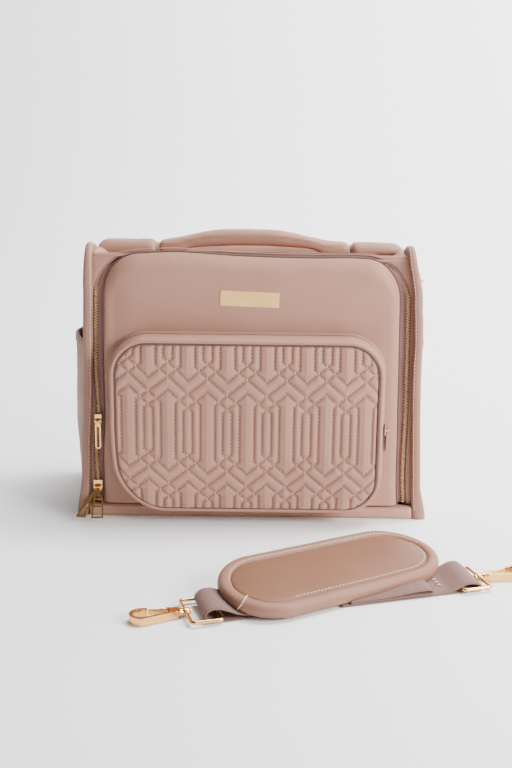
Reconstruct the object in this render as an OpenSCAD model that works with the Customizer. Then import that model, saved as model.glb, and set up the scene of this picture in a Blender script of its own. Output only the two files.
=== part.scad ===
// Structured diaper bag with a front that unzips and folds down, a quilted zip pocket,
// a padded top handle and a clip-on shoulder strap laid in front of it.
// +X is to the right, +Y is to the back, +Z is up; the origin is the middle of the base.

/* [Bag shell] */
// Outside width across the side bindings at the floor
base_width = 352; // [320:1:380]
// How much each side leans inwards from the floor to the top
side_lean = 12; // [6:1:18]
// Height of the side bindings
body_height = 280; // [260:1:300]
// Depth from the front of the bindings to the back of the bindings
body_depth = 152; // [140:1:170]
// Thickness of the padded walls
wall = 2.5; // [2:0.5:4]
// Width of the rounded side binding
binding_width = 9.5; // [7:0.5:12]
// Depth of the rounded side binding
binding_depth = 12; // [10:1:16]
// Height of the trim along the foot of the front
trim_height = 13; // [10:1:14]

/* [Main zip and front flap] */
// Half width of the zip line at the floor
zip_half_base = 158.5; // [154:0.5:159]
// Height of the zip line at the top
zip_top = 269; // [260:1:270]
// Corner radius of the zip line
zip_radius = 55; // [40:1:60]
// Width of each half of the chain
chain_half = 2.8; // [2:0.1:3]
// Depth from the zip to the face of the flap
flap_depth = 13; // [10:1:15]
// Distance from the zip line in to the edge of the flap
flap_inset = 7.5; // [7:0.5:10]
// Height of the fold line at the foot of the flap
flap_fold_z = 15; // [14:1:18]

/* [Front pocket] */
// Width of the quilted pocket
pocket_width = 263; // [220:1:265]
// Height of the quilted pocket
pocket_height = 172; // [150:1:175]
// Depth of the pocket
pocket_depth = 23; // [18:1:24]
// Corner radius of the pocket
pocket_radius = 45; // [35:1:55]
// Sideways offset of the pocket's middle
pocket_offset = -5; // [-8:1:8]
// Height of the lower edge of the pocket
pocket_low = 16; // [16:1:20]

/* [Side pockets] */
// How far the filled left pocket stands out from the middle of the bag
left_pocket_reach = 189; // [182:1:190]
// How far the empty right pocket stands out from the middle of the bag
right_pocket_reach = 178.5; // [178:0.5:184]
// Height of the side pockets
side_pocket_height = 185; // [150:1:190]

/* [Handle] */
// Width of the padded handle
handle_width = 32; // [26:1:36]
// Height of the middle of the handle's arch
handle_top = 290; // [286:1:296]
// Half the length of the loose middle of the handle
grip_half = 100; // [80:1:110]

/* [Shoulder strap] */
// Length of the shoulder pad
pad_length = 216; // [190:1:230]
// Width of the shoulder pad
pad_width = 88; // [70:1:96]
// Thickness of the shoulder pad
pad_thick = 13; // [12:1:18]
// Width of the webbing
webbing_width = 38; // [30:1:40]
// Thickness of two layers of webbing
webbing_thick = 2.4; // [2:0.2:2.6]

/* [Metal fittings] */
// Radius of the wire in the rings
wire_r = 1.6; // [1.4:0.1:2]
// Clear gap around each running pin
pin_gap = 0.07; // [0.05:0.01:0.1]
// Radius of the tip of the snap hook
hook_tip_r = 10; // [9:0.5:11]
// Height of the snap hook's band
hook_band = 6.5; // [6:0.5:9]

/* [Hidden] */
$fn = 48;

rose = [0.76, 0.61, 0.55];
rose_dark = [0.62, 0.47, 0.43];
mauve = [0.55, 0.42, 0.42];
tan_leather = [0.74, 0.58, 0.48];
cream = [0.86, 0.82, 0.76];
brass = [0.86, 0.68, 0.42];

lean = side_lean / body_height;
outer_half = base_width / 2;
bind_in = outer_half - binding_width;
side_out = outer_half - 3;
side_in = side_out - wall;
y_front = -body_depth / 2;
y_frame = y_front + binding_depth;
y_back = body_depth / 2 - 3;
frame_top = body_height - 5;
top_face = 268.5;
fit = 0.2;

zip_slope = 0.0225;
zip_tilt = atan(zip_slope);
arc_z = zip_top - zip_radius;
arc_x = zip_half(arc_z) - zip_radius / cos(zip_tilt);
flap_y = y_frame - flap_depth;
tape_thick = 1;
y_teeth = y_frame - 2.4;
panel_thick = 2;

pocket_x0 = pocket_offset - pocket_width / 2;
pocket_x1 = pocket_offset + pocket_width / 2;
pocket_z1 = pocket_low + pocket_height;
pocket_y = flap_y - pocket_depth;
gusset_grow = 5;

upper_z = 100;
lower_z = 30;
pocket_slider_z = 97;
bar_r = 0.8;
bar_out = 4.6;
pull_tilt = 45;

tab_z = 243;
tab_out = 4.1;
tab_width = 20;
ring_bar = 12.5;
right_ring_lift = 62;
left_ring_lift = 12;

grip_low = 4;
grip_rise = 4;
handle_z = top_face + 6.5;

pad_place = [72, -243, 0];
pad_turn = 30;
pad_tilt = 9;
left_swivel = [-51.5, -309, 4.3];
right_swivel = [205, -231, 4.3];
strap_turn = 17;
ring_long = 26;
ring_wide = 45;
ring_corner = 3.2;
hook_start = 9;
hook_reach = 37;
hook_base_r = 4.5;
hook_wall = 2.8;
hook_slope = asin((hook_tip_r - hook_base_r) / (hook_reach - hook_start));
arm_long = (hook_reach - hook_start) * cos(hook_slope);
gate_pivot = -arm_long + 5.5;
gate_pin_r = 0.8;
gate_end = -5.4;

// ---- outlines ----

function zip_half(z) = zip_half_base - zip_slope * z;

function arc(cx, cy, r, a0, a1, n) =
    [for (i = [0:n]) let (a = a0 + (a1 - a0) * i / n) [cx + r * cos(a), cy + r * sin(a)]];

// The zip's arch, moved outwards by off, from height low upwards
function arch_points(off, low) = concat(
    [[zip_half(low) + off / cos(zip_tilt), low]],
    arc(arc_x, arc_z, zip_radius + off, zip_tilt, 90, 10),
    arc(-arc_x, arc_z, zip_radius + off, 90, 180 - zip_tilt, 10),
    [[-zip_half(low) - off / cos(zip_tilt), low]]);

function round_box(x0, x1, z0, z1, r, n = 8) = concat(
    arc(x1 - r, z0 + r, r, -90, 0, n), arc(x1 - r, z1 - r, r, 0, 90, n),
    arc(x0 + r, z1 - r, r, 90, 180, n), arc(x0 + r, z0 + r, r, 180, 270, n));

// ---- helpers ----

// Stands an outline drawn in X and Z between two depths
module stand(y0, y1) {
    translate([0, y1, 0]) rotate([90, 0, 0]) linear_extrude(y1 - y0) children();
}

module arch_plate(off, low, y0, y1) {
    stand(y0, y1) polygon(arch_points(off, low));
}

module arch_ring(off_in, off_out, low, y0, y1) {
    difference() {
        arch_plate(off_out, low, y0, y1);
        arch_plate(off_in, low - 1, y0 - 1, y1 + 1);
    }
}

module pocket_plate(grow, y0, y1) {
    stand(y0, y1)
        polygon(round_box(pocket_x0 - grow, pocket_x1 + grow, pocket_low, pocket_z1 + grow,
            pocket_radius));
}

module pocket_ring(grow, thick, y0, y1) {
    difference() {
        pocket_plate(grow, y0, y1);
        stand(y0 - 1, y1 + 1)
            polygon(round_box(pocket_x0 - grow + thick, pocket_x1 + grow - thick,
                pocket_low + thick, pocket_z1 + grow - thick, pocket_radius - thick));
    }
}

// A leaning slab on the right side, between two distances from the middle at floor level
module lean_slab(x_in, x_out, z0, z1, y0, y1) {
    stand(y0, y1)
        polygon([[x_in - lean * z0, z0], [x_out - lean * z0, z0],
            [x_out - lean * z1, z1], [x_in - lean * z1, z1]]);
}

module trapezoid(x_half, z0, z1, y0, y1) {
    stand(y0, y1)
        polygon([[-x_half + lean * z0, z0], [x_half - lean * z0, z0],
            [x_half - lean * z1, z1], [-x_half + lean * z1, z1]]);
}

module on_side(side) {
    if (side > 0) children();
    else mirror([1, 0, 0]) children();
}

module rod_x(r, x0, x1) {
    translate([x0, 0, 0]) rotate([0, 90, 0]) cylinder(r = r, h = x1 - x0);
}

module rod_y(r, y0, y1) {
    translate([0, y0, 0]) rotate([-90, 0, 0]) cylinder(r = r, h = y1 - y0);
}

// ---- bag shell ----

module back_panel() {
    color(rose) trapezoid(bind_in - fit, 0, frame_top, y_back - wall, y_back);
}

module base_panel() {
    color(rose_dark) {
        translate([-side_in + fit, y_frame + 2, 0])
            cube([2 * (side_in - fit), body_depth - 2 * binding_depth - 2.4, 3]);
        translate([-bind_in + 0.6, 0, 0])
            cube([2 * (bind_in - 0.6), y_back - wall, 3]);
    }
}

module base_board() {
    color("dimgray") translate([-158, y_frame + 5, 3.2]) cube([316, 124, 2]);
}

module bottom_trim() {
    color(rose_dark) trapezoid(bind_in - fit, 0, trim_height, y_front, y_frame + 2);
}

module front_frame() {
    color(rose) difference() {
        trapezoid(bind_in - fit, trim_height + fit, frame_top, y_frame - 2, y_frame);
        arch_plate(3, trim_height - 1, y_frame - 3, y_frame + 1);
    }
}

module top_panel() {
    color(rose)
        trapezoid(bind_in - fit, top_face - wall, top_face, y_frame + tape_thick + fit,
            y_back - wall - fit);
}

// Slab seen from the side with its upper corners rounded
module side_outline(gap, low, r) {
    translate([100, 0, 0]) rotate([90, 0, 90]) linear_extrude(100)
        polygon(round_box(y_frame + gap, -y_frame - gap, low, body_height - binding_depth - gap, r));
}

module side_panel(side) {
    color(rose) on_side(side) intersection() {
        lean_slab(side_in, side_out, 0, body_height - binding_depth, y_frame, -y_frame);
        side_outline(fit, -40, 6);
    }
}

module side_binding(side) {
    color(rose_dark) on_side(side) intersection() {
        lean_slab(bind_in, outer_half, 0, body_height, y_front, -y_front);
        difference() {
            translate([100, 0, 0]) rotate([90, 0, 90]) linear_extrude(100)
                polygon(round_box(y_front, -y_front, -30, body_height, 16));
            side_outline(0, -40, 6);
        }
    }
}

module frame_zip_tape() {
    color(mauve) difference() {
        arch_ring(0.5, 5, trim_height + fit, y_frame, y_frame + tape_thick);
        translate([-200, y_frame - 1, frame_top - 2]) cube([400, 4, 20]);
    }
}

module frame_zip_teeth() {
    color(brass) arch_ring(0.2, chain_half, trim_height + fit, y_teeth, y_frame);
}

module lining() {
    color(cream) difference() {
        trapezoid(bind_in - 1, 5.4, top_face - wall - fit, y_frame + 3, y_back - wall - fit);
        trapezoid(bind_in - 2, 6.4, top_face - wall - fit - 1, y_frame, y_back - wall - 1.2);
    }
}

module inner_pocket() {
    color(cream) difference() {
        translate([-110, 52, 30]) cube([220, y_back - wall - 1.4 - 52, 120]);
        translate([-108.8, 53.2, 31.2]) cube([217.6, y_back - wall - 2.8 - 53.2, 130]);
    }
}

// Outline of a pouch bulging out from the side; reach is its farthest point
module pouch_outline(reach, half) {
    sag = reach - side_out + 6;
    big_r = (half * half + sag * sag) / (2 * sag);
    turn = asin(half / big_r);
    polygon(concat([[140, half], [140, -half]],
        arc(reach - big_r, 0, big_r, -turn, turn, 12)));
}

module side_pocket(side, reach) {
    color(rose) on_side(side) intersection() {
        lean_slab(side_out, reach + 20, 0, 200, -60, 60);
        difference() {
            translate([0, 0, 3]) linear_extrude(side_pocket_height - 3)
                pouch_outline(reach, 56);
            translate([0, 0, 5]) linear_extrude(side_pocket_height)
                pouch_outline(reach - 1.8, 54);
        }
    }
}

module trolley_sleeve() {
    color(rose) difference() {
        translate([-112, y_back, 80]) cube([224, 7.2, 120]);
        translate([-110, y_back - 1, 79]) cube([220, 6.4, 122]);
    }
}

// ---- ring tabs, D rings ----

function side_face(z) = side_out - lean * z;

module ring_tab(side) {
    bar_x = side_face(tab_z) + tab_out;
    color(rose_dark) on_side(side) difference() {
        union() {
            translate([bar_x, 0, tab_z]) rod_y(3.2, -tab_width / 2, tab_width / 2);
            lean_slab(side_out, side_out + 2.6, tab_z, 262, -tab_width / 2, tab_width / 2);
        }
        translate([bar_x, 0, tab_z]) rod_y(wire_r + pin_gap, -20, 20);
    }
}

module d_ring(side, lift) {
    bar_x = side_face(tab_z) + tab_out;
    color(brass) on_side(side) translate([bar_x, 0, tab_z]) rotate([0, -lift, 0]) {
        rod_y(wire_r, -ring_bar, ring_bar);
        rotate([90, 0, 90]) rotate([0, 0, 180]) rotate_extrude(angle = 180)
            translate([ring_bar, 0]) circle(r = wire_r, $fn = 24);
    }
}

// ---- handle ----

module handle_pad(side) {
    start = grip_half + 1.5;
    end = bind_in - fit - lean * (top_face + 12);
    color(rose) on_side(side) translate([start, 0, top_face]) rotate([90, 0, 90])
        linear_extrude(end - start)
            polygon(round_box(-handle_width / 2, handle_width / 2, 0, 11.5, 5));
}

// Lens shaped arch between the two seams where the handle is pinched
module handle_grip() {
    low = top_face + grip_low;
    color(rose) stand(-14, 14) polygon(concat(
        [for (i = [0:12]) let (x = -grip_half + 2 * grip_half * i / 12)
            [x, low + grip_rise * cos(90 * x / grip_half)]],
        [for (i = [0:12]) let (x = grip_half - 2 * grip_half * i / 12)
            [x, low + 7 + (handle_top - low - 7) * cos(90 * x / grip_half)]]));
}

// ---- front flap ----

module front_panel() {
    color(rose) arch_plate(-flap_inset, flap_fold_z, flap_y, flap_y + panel_thick);
}

module flap_gusset() {
    color(rose) {
        arch_ring(-flap_inset - 2, -flap_inset, flap_fold_z, flap_y + panel_thick, y_frame);
        translate([-zip_half(flap_fold_z) + flap_inset + 2.1, flap_y + panel_thick, flap_fold_z])
            cube([2 * (zip_half(flap_fold_z) - flap_inset - 2.1), flap_depth - panel_thick, 2]);
    }
}

module flap_piping() {
    color(rose_dark)
        arch_ring(-flap_inset, -flap_inset + 2, flap_fold_z, flap_y, flap_y + 2.4);
}

module flap_lining() {
    color(cream) arch_plate(-flap_inset - 2.2, flap_fold_z, y_frame, y_frame + tape_thick);
}

module flap_zip_tape() {
    color(mauve)
        arch_ring(-flap_inset - 2, -0.4, flap_fold_z, y_frame, y_frame + tape_thick);
}

module flap_zip_teeth() {
    color(brass) arch_ring(-chain_half, -0.2, flap_fold_z, y_teeth, y_frame);
}

module name_plate() {
    color(brass) translate([-3, 0, 228]) rotate([0, 2, 0])
        stand(flap_y - 1.6, flap_y) polygon(round_box(-29, 29, -7.5, 7.5, 1, 4));
}

module pocket_rear_gusset() {
    color(rose) pocket_ring(gusset_grow + 2, 4, flap_y - 2.2, flap_y);
}

// The zip runs over the top and down the right side of the pocket
module pocket_zip_teeth() {
    color(rose_dark) difference() {
        pocket_ring(gusset_grow, 2, flap_y - 3.4, flap_y - 2.2);
        translate([-300, -100, -10]) cube([300 + pocket_x1 - 60, 60, 130]);
        translate([0, -100, -10]) cube([300, 60, 55]);
        translate([-300, -100, -10]) cube([180, 60, 180]);
    }
}

module pocket_panel() {
    color(rose) stand(pocket_y, pocket_y + panel_thick)
        polygon(round_box(pocket_x0 + 0.1, pocket_x1 - 0.1, pocket_low + 2.1, pocket_z1 - 0.1,
            pocket_radius - 2));
}

module pocket_piping() {
    color(rose_dark) pocket_ring(2, 2, pocket_y - 0.4, pocket_y + panel_thick);
}

module pocket_gusset() {
    color(rose) pocket_ring(gusset_grow, gusset_grow + 2, pocket_y + panel_thick, flap_y - 3.6);
}

// ---- sliders and pulls ----

// Face plate with an arched bridge; the pin of the bridge runs along X at y = -bar_out
module slider_body(wide, tall, post) {
    difference() {
        translate([-wide / 2, -2.2, -tall / 2]) cube([wide, 1.8, tall]);
        for (s = [-1, 1]) translate([s * wide / 2, -3, -tall / 2]) rotate([0, s * 20, 0])
            translate([-1.5, 0, -1]) cube([3, 4, 5]);
    }
    for (s = [-1, 1]) translate([s * post - 0.5, -bar_out - 0.9, -1.4])
        cube([1, bar_out - 1.3, 2.8]);
    translate([0, -bar_out, 0]) rod_x(bar_r, -post, post);
}

// Rear plate behind the flap's half of the chain; side is +1 where the flap is at +X
module slider_rear(side, tall) {
    translate([side > 0 ? 0.8 : -5.8, y_frame + tape_thick + 0.4 - y_teeth, -tall / 2])
        cube([5, 1.4, tall]);
}

module at_slider(z) {
    translate([-zip_half(z), y_teeth, z]) children();
}

module zip_slider_upper() {
    color(brass) at_slider(upper_z) {
        slider_body(6.6, 13, 2.7);
        slider_rear(1, 12);
    }
}

module zip_slider_lower() {
    color(brass) at_slider(lower_z) {
        slider_body(9, 13, 3.2);
        slider_rear(1, 12);
    }
}

// Eye around the bridge pin
module pull_eye(x0, x1) {
    difference() {
        rod_x(1.9, x0, x1);
        rod_x(bar_r + pin_gap, x0 - 1, x1 + 1);
    }
}

module zip_pull_upper() {
    color(brass) at_slider(upper_z) translate([0, -bar_out, 0]) {
        pull_eye(-1.8, 1.8);
        stand(-0.7, 0.7) difference() {
            polygon(round_box(-2.9, 2.9, -29, -1.6, 2.8));
            polygon(round_box(-1.5, 1.5, -27.6, -3.4, 1.4));
        }
    }
}

// House shaped pull with two cross bars, leaning forwards on to the floor
module zip_pull_lower() {
    color(brass) at_slider(lower_z) translate([0, -bar_out, 0]) rotate([-pull_tilt, 0, 0]) {
        pull_eye(-0.4, 2.2);
        stand(-0.9, 0.9) difference() {
            polygon([[-0.3, -1.5], [2.1, -1.5], [2.3, -3.2], [3.9, -9.5], [7, -14.5],
                [8.6, -35.5], [-3.6, -35.5], [-3, -10]]);
            polygon([[0.8, -5], [1.4, -5], [2.4, -9.5], [4.6, -13], [-1.2, -13]]);
            polygon([[-1.4, -14.8], [5.4, -14.8], [6, -22], [-1.8, -22]]);
            polygon([[-1.9, -23.8], [6.2, -23.8], [6.9, -33.8], [-2.2, -33.8]]);
        }
    }
}

// Leaf shaped second tab on the same pin, lying out to the left
module zip_tag_lower() {
    color(brass) at_slider(lower_z) translate([0, -bar_out, 0]) rotate([-pull_tilt, 0, 0]) {
        pull_eye(-2.3, -0.7);
        stand(-0.8, 0.8) difference() {
            polygon([[-2.2, -1.5], [-0.8, -1.5], [-5.4, -17], [-9.4, -35], [-19.4, -34.4],
                [-11.4, -17], [-2.4, -3.2]]);
            polygon([[-9.2, -19.5], [-7.4, -19.5], [-11, -32.4], [-16.4, -32]]);
        }
    }
}

module at_pocket_slider() {
    translate([pocket_x1 + gusset_grow + 2.3, flap_y - 3.4, pocket_slider_z])
        rotate([0, 0, 90]) children();
}

module pocket_slider() {
    color(rose_dark) at_pocket_slider() {
        translate([-3, -1.4, -5]) cube([6, 1.2, 10]);
        for (s = [-1, 1]) translate([s * 2.2 - 0.5, -3.6, -1.2]) cube([1, 2.3, 2.4]);
        translate([0, -3, 0]) rod_x(0.6, -2.2, 2.2);
    }
}

module pocket_pull() {
    color(rose_dark) at_pocket_slider() translate([0, -3, 0]) {
        difference() {
            rod_x(1.5, -1.3, 1.3);
            rod_x(0.6 + pin_gap, -2, 2);
        }
        stand(-0.6, 0.6) difference() {
            polygon(round_box(-2.4, 2.4, -22, -1.2, 1.6));
            polygon(round_box(-1.1, 1.1, -20.8, -14, 1));
        }
    }
}

// ---- shoulder strap ----

// Pad's own frame: length along X, width along Y, underside at Z = 0, tipped towards the front
module at_pad() {
    translate(pad_place) rotate([0, 0, pad_turn]) translate([0, 0, 0.4])
        translate([0, -pad_width / 2 * cos(pad_tilt), 0]) rotate([pad_tilt, 0, 0])
            translate([0, pad_width / 2, 0]) children();
}

module pad_outline(inset) {
    polygon(round_box(-pad_length / 2 + inset, pad_length / 2 - inset,
        -pad_width / 2 + inset, pad_width / 2 - inset, pad_width / 2 - inset - 0.01, 12));
}

module shoulder_pad() {
    color(rose) at_pad() linear_extrude(pad_thick - 4) pad_outline(4);
}

module pad_top() {
    color(tan_leather) at_pad() translate([0, 0, pad_thick - 4]) linear_extrude(3) pad_outline(11);
}

module pad_border() {
    color(rose_dark) at_pad() {
        difference() {
            linear_extrude(pad_thick - 4) pad_outline(0);
            translate([0, 0, -1]) linear_extrude(pad_thick) pad_outline(4);
        }
        translate([0, 0, pad_thick - 4]) linear_extrude(4) difference() {
            pad_outline(2);
            pad_outline(11);
        }
    }
}

// Frame of a fitting at one end of the strap: swivel at the origin, hook towards +X
module at_left_end() {
    translate(left_swivel) rotate([0, 0, strap_turn + 180]) children();
}

module at_right_end() {
    translate(right_swivel) rotate([0, 0, strap_turn]) children();
}

// Tongue of webbing sewn round the far bar of a loop ring
module webbing_tongue(long) {
    difference() {
        union() {
            translate([-ring_long, 0, 0])
                rod_y(wire_r + 1.5, -webbing_width / 2, webbing_width / 2);
            translate([-ring_long - long, -webbing_width / 2, -webbing_thick - 1.4])
                cube([long, webbing_width, webbing_thick]);
        }
        translate([-ring_long, 0, 0]) rod_y(wire_r + pin_gap, -30, 30);
    }
}

// The spare webbing lies in folds under the raised side of the pad
module folded_stack() {
    translate(pad_place) rotate([0, 0, pad_turn]) translate([60, 0, 0]) rotate([90, 0, -90])
        linear_extrude(120)
            polygon([[-2, 0], [-34, 0], [-34, 12], [-2, 7]]);
}

module strap_webbing() {
    color(mauve) {
        at_left_end() webbing_tongue(18);
        at_right_end() webbing_tongue(4);
        folded_stack();
    }
}

module strap_adjuster() {
    color(brass) translate(pad_place) rotate([0, 0, pad_turn]) translate([62, -19, 0.3])
        difference() {
            cube([24, 46, 2.4]);
            translate([3, 3, -1]) cube([7.5, 40, 5]);
            translate([13.5, 3, -1]) cube([7.5, 40, 5]);
        }
}

module ring_corner_bend() {
    rotate_extrude(angle = 90) translate([ring_corner, 0]) circle(r = wire_r, $fn = 24);
}

// Rectangular ring with a bored boss for the hook's swivel
module loop_ring() {
    half = ring_wide / 2;
    color(brass) difference() {
        union() {
            for (x = [0, -ring_long])
                translate([x, 0, 0]) rod_y(wire_r, -half + ring_corner, half - ring_corner);
            for (s = [-1, 1])
                translate([0, s * half, 0]) rod_x(wire_r, -ring_long + ring_corner, -ring_corner);
            translate([-ring_corner, half - ring_corner, 0]) ring_corner_bend();
            translate([-ring_corner, -half + ring_corner, 0]) rotate([0, 0, -90])
                ring_corner_bend();
            translate([-ring_long + ring_corner, half - ring_corner, 0]) rotate([0, 0, 90])
                ring_corner_bend();
            translate([-ring_long + ring_corner, -half + ring_corner, 0]) rotate([0, 0, 180])
                ring_corner_bend();
            rod_x(3.4, -2.4, 2.4);
        }
        rod_x(1.5 + pin_gap, -6, 6);
    }
}

// Frame of the hook's far side, where the gate is: X runs along the band
module on_gate_side() {
    translate([hook_reach, 0, 0]) rotate([0, 0, hook_slope]) children();
}

module band(x0, x1) {
    translate([x0, hook_tip_r - hook_wall, -hook_band / 2])
        cube([x1 - x0, hook_wall, hook_band]);
}

module snap_hook() {
    eye_y = hook_tip_r - hook_wall / 2;
    color(brass) difference() {
        union() {
            rod_x(1.5, -4, 6);
            rod_x(2.6, -4.4, -2.8);
            rod_x(3.4, 2.8, 6);
            translate([hook_start, 0, -hook_band / 2])
                cylinder(r = hook_base_r, h = hook_band);
            on_gate_side() {
                band(-arm_long, gate_pivot + 1.6);
                band(gate_end + 0.5, 0.4);
                translate([gate_pivot, eye_y, -hook_band / 2])
                    cylinder(r = gate_pin_r, h = hook_band);
            }
            mirror([0, 1, 0]) on_gate_side() band(-arm_long, 0.4);
            translate([hook_reach, 0, -hook_band / 2])
                rotate([0, 0, -90 - hook_slope]) rotate_extrude(angle = 180 + 2 * hook_slope)
                    translate([hook_tip_r - hook_wall, 0]) square([hook_wall, hook_band]);
        }
        on_gate_side() difference() {
            translate([gate_pivot - 2, eye_y - 3, -2.3]) cube([6, 6, 4.6]);
            translate([gate_pivot, eye_y, -3]) cylinder(r = gate_pin_r, h = 6);
        }
    }
}

// Sprung gate that closes the hook's mouth and swings inwards
module hook_gate() {
    eye_y = hook_tip_r - hook_wall / 2;
    color(brass) on_gate_side() difference() {
        union() {
            translate([gate_pivot, eye_y, -2]) cylinder(r = 1.7, h = 4);
            translate([gate_pivot, eye_y - 1, -2])
                cube([gate_end - gate_pivot, 2, 4]);
            translate([gate_pivot + 5.5, eye_y + 1, -2]) cylinder(r = 1.2, h = 4);
        }
        translate([gate_pivot, eye_y, -3]) cylinder(r = gate_pin_r + pin_gap, h = 6);
    }
}

back_panel();
base_panel();
base_board();
bottom_trim();
front_frame();
top_panel();
side_panel(-1);  // side_panel_left
side_panel(1);  // side_panel_right
side_binding(-1);  // side_binding_left
side_binding(1);  // side_binding_right
frame_zip_tape();
frame_zip_teeth();
lining();
inner_pocket();
side_pocket(-1, left_pocket_reach);  // side_pocket_left
side_pocket(1, right_pocket_reach);  // side_pocket_right
trolley_sleeve();
ring_tab(-1);  // ring_tab_left
ring_tab(1);  // ring_tab_right
handle_pad(-1);  // handle_pad_left
handle_pad(1);  // handle_pad_right
front_panel();
flap_gusset();
flap_piping();
flap_lining();
flap_zip_tape();
flap_zip_teeth();
name_plate();
pocket_rear_gusset();
pocket_zip_teeth();
pocket_panel();
pocket_piping();
pocket_gusset();
zip_slider_upper();
zip_pull_upper();
zip_slider_lower();
zip_pull_lower();
zip_tag_lower();
pocket_slider();
pocket_pull();
d_ring(-1, left_ring_lift);  // d_ring_left
d_ring(1, right_ring_lift);  // d_ring_right
handle_grip();
shoulder_pad();
pad_top();
pad_border();
strap_webbing();
strap_adjuster();
at_left_end() loop_ring();  // loop_ring_left
at_right_end() loop_ring();  // loop_ring_right
at_left_end() mirror([0, 1, 0]) snap_hook();  // snap_hook_left
at_right_end() snap_hook();  // snap_hook_right
at_left_end() mirror([0, 1, 0]) hook_gate();  // hook_gate_left
at_right_end() hook_gate();  // hook_gate_right
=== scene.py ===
import math

import bmesh
import bpy
import numpy as np
from mathutils import Matrix, Vector, noise


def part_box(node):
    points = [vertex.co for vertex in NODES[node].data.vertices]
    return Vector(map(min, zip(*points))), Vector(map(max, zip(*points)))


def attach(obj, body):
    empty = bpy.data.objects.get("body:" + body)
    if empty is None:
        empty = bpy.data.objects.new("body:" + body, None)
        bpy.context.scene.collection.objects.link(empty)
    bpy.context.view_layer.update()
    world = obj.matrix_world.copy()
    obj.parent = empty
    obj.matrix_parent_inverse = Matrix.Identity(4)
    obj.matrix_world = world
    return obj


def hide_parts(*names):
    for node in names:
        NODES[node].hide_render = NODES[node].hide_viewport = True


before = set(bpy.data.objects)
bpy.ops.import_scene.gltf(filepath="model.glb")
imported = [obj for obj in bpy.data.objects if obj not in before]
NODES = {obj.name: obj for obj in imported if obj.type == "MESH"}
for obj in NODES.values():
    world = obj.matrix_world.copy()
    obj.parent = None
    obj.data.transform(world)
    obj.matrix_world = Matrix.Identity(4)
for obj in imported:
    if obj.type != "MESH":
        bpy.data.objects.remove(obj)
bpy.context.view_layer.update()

MM = 0.001
UP, FORWARD = Vector((0, 0, 1)), Vector((0, -1, 0))
SIDES = ((-1, "left"), (1, "right"))


def box_mm(node):
    low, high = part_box(node)
    return low / MM, high / MM


# ---------------------------------------------------------------- sizes, in millimetres
BIND_LOW, BIND_HIGH = box_mm("side_binding_right")
PANEL_LOW = box_mm("front_panel")[0]
POCKET_LOW, POCKET_HIGH = box_mm("pocket_piping")
GRIP_HIGH = box_mm("handle_grip")[1]
SIDE_HIGH = box_mm("side_panel_right")[1]
LEAN = 12 / 280
BIND_WIDTH = 9.5
BIND_DEPTH = 12.0
OUT_HALF = BIND_HIGH.x
IN_HALF = OUT_HALF - BIND_WIDTH
TOP_Z = BIND_HIGH.z
FRONT_Y = BIND_LOW.y
FRAME_Y = FRONT_Y + BIND_DEPTH
BACK_Y = box_mm("back_panel")[1].y
TOP_FACE = box_mm("top_panel")[1].z
SEAM_Z = 270.0

ZIP_HALF = 158.5
ZIP_SLOPE = 0.0225
ZIP_TOP = 269.0
ZIP_RADIUS = 41.0
FLAP_INSET = 7.5
FLAP_Y = PANEL_LOW.y
FOLD_Z = PANEL_LOW.z
TEETH_Y = FRAME_Y - 2.4
TOOTH_PITCH = 2.8

POCKET_X0 = POCKET_LOW.x + 2
POCKET_X1 = POCKET_HIGH.x - 2
POCKET_Z0 = POCKET_LOW.z
POCKET_Z1 = POCKET_HIGH.z - 2
POCKET_MID = (POCKET_X0 + POCKET_X1) / 2
POCKET_R = (49.0, 33.0, 33.0, 33.0)
POCKET_Y = POCKET_LOW.y + 0.4
POCKET_BACK = FLAP_Y - 3.6

QUILT_PERIOD = 38.9
QUILT_INNER = 4.5
QUILT_OUTER = 12.2
QUILT_SLOPE = 0.848
QUILT_APEX = 5.5
QUILT_ZONES = (144.2, 50.7)

STITCH_PITCH = 3.6
STITCH_LONG = 2.7
STITCH_R = 0.42


def half_out(z):
    return OUT_HALF - LEAN * z


def half_in(z):
    return IN_HALF - LEAN * z


def zip_half(z):
    return ZIP_HALF - ZIP_SLOPE * z


ZIP_TILT = math.atan(ZIP_SLOPE)
ARC_Z = ZIP_TOP - ZIP_RADIUS
ARC_X = zip_half(ARC_Z) - ZIP_RADIUS / math.cos(ZIP_TILT)


def smooth(t):
    t = min(1.0, max(0.0, t))
    return t * t * (3 - 2 * t)


def even(low, high, count):
    """count + 1 numbers at even distances from low to high."""
    return [low + (high - low) * i / count for i in range(count + 1)]


def ripple(x, y, z, scale, seed=0.0):
    """Gentle repeatable noise from -1 to 1, for points in millimetres."""
    return noise.noise(Vector((x / scale + seed, y / scale - seed, z / scale + 2 * seed)))


# ---------------------------------------------------------------- camera, stage and light
def make_camera():
    data = bpy.data.cameras.new("camera")
    data.sensor_width = 36
    data.lens = 50.4
    camera = bpy.data.objects.new("camera", data)
    bpy.context.scene.collection.objects.link(camera)
    tilt = Matrix.Rotation(math.radians(76.7), 4, "X")
    roll = Matrix.Rotation(math.radians(0.7), 4, "Z")
    camera.matrix_world = Matrix.Translation((0.004, -1.125, 0.390)) @ tilt @ roll
    bpy.context.scene.camera = camera


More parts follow.
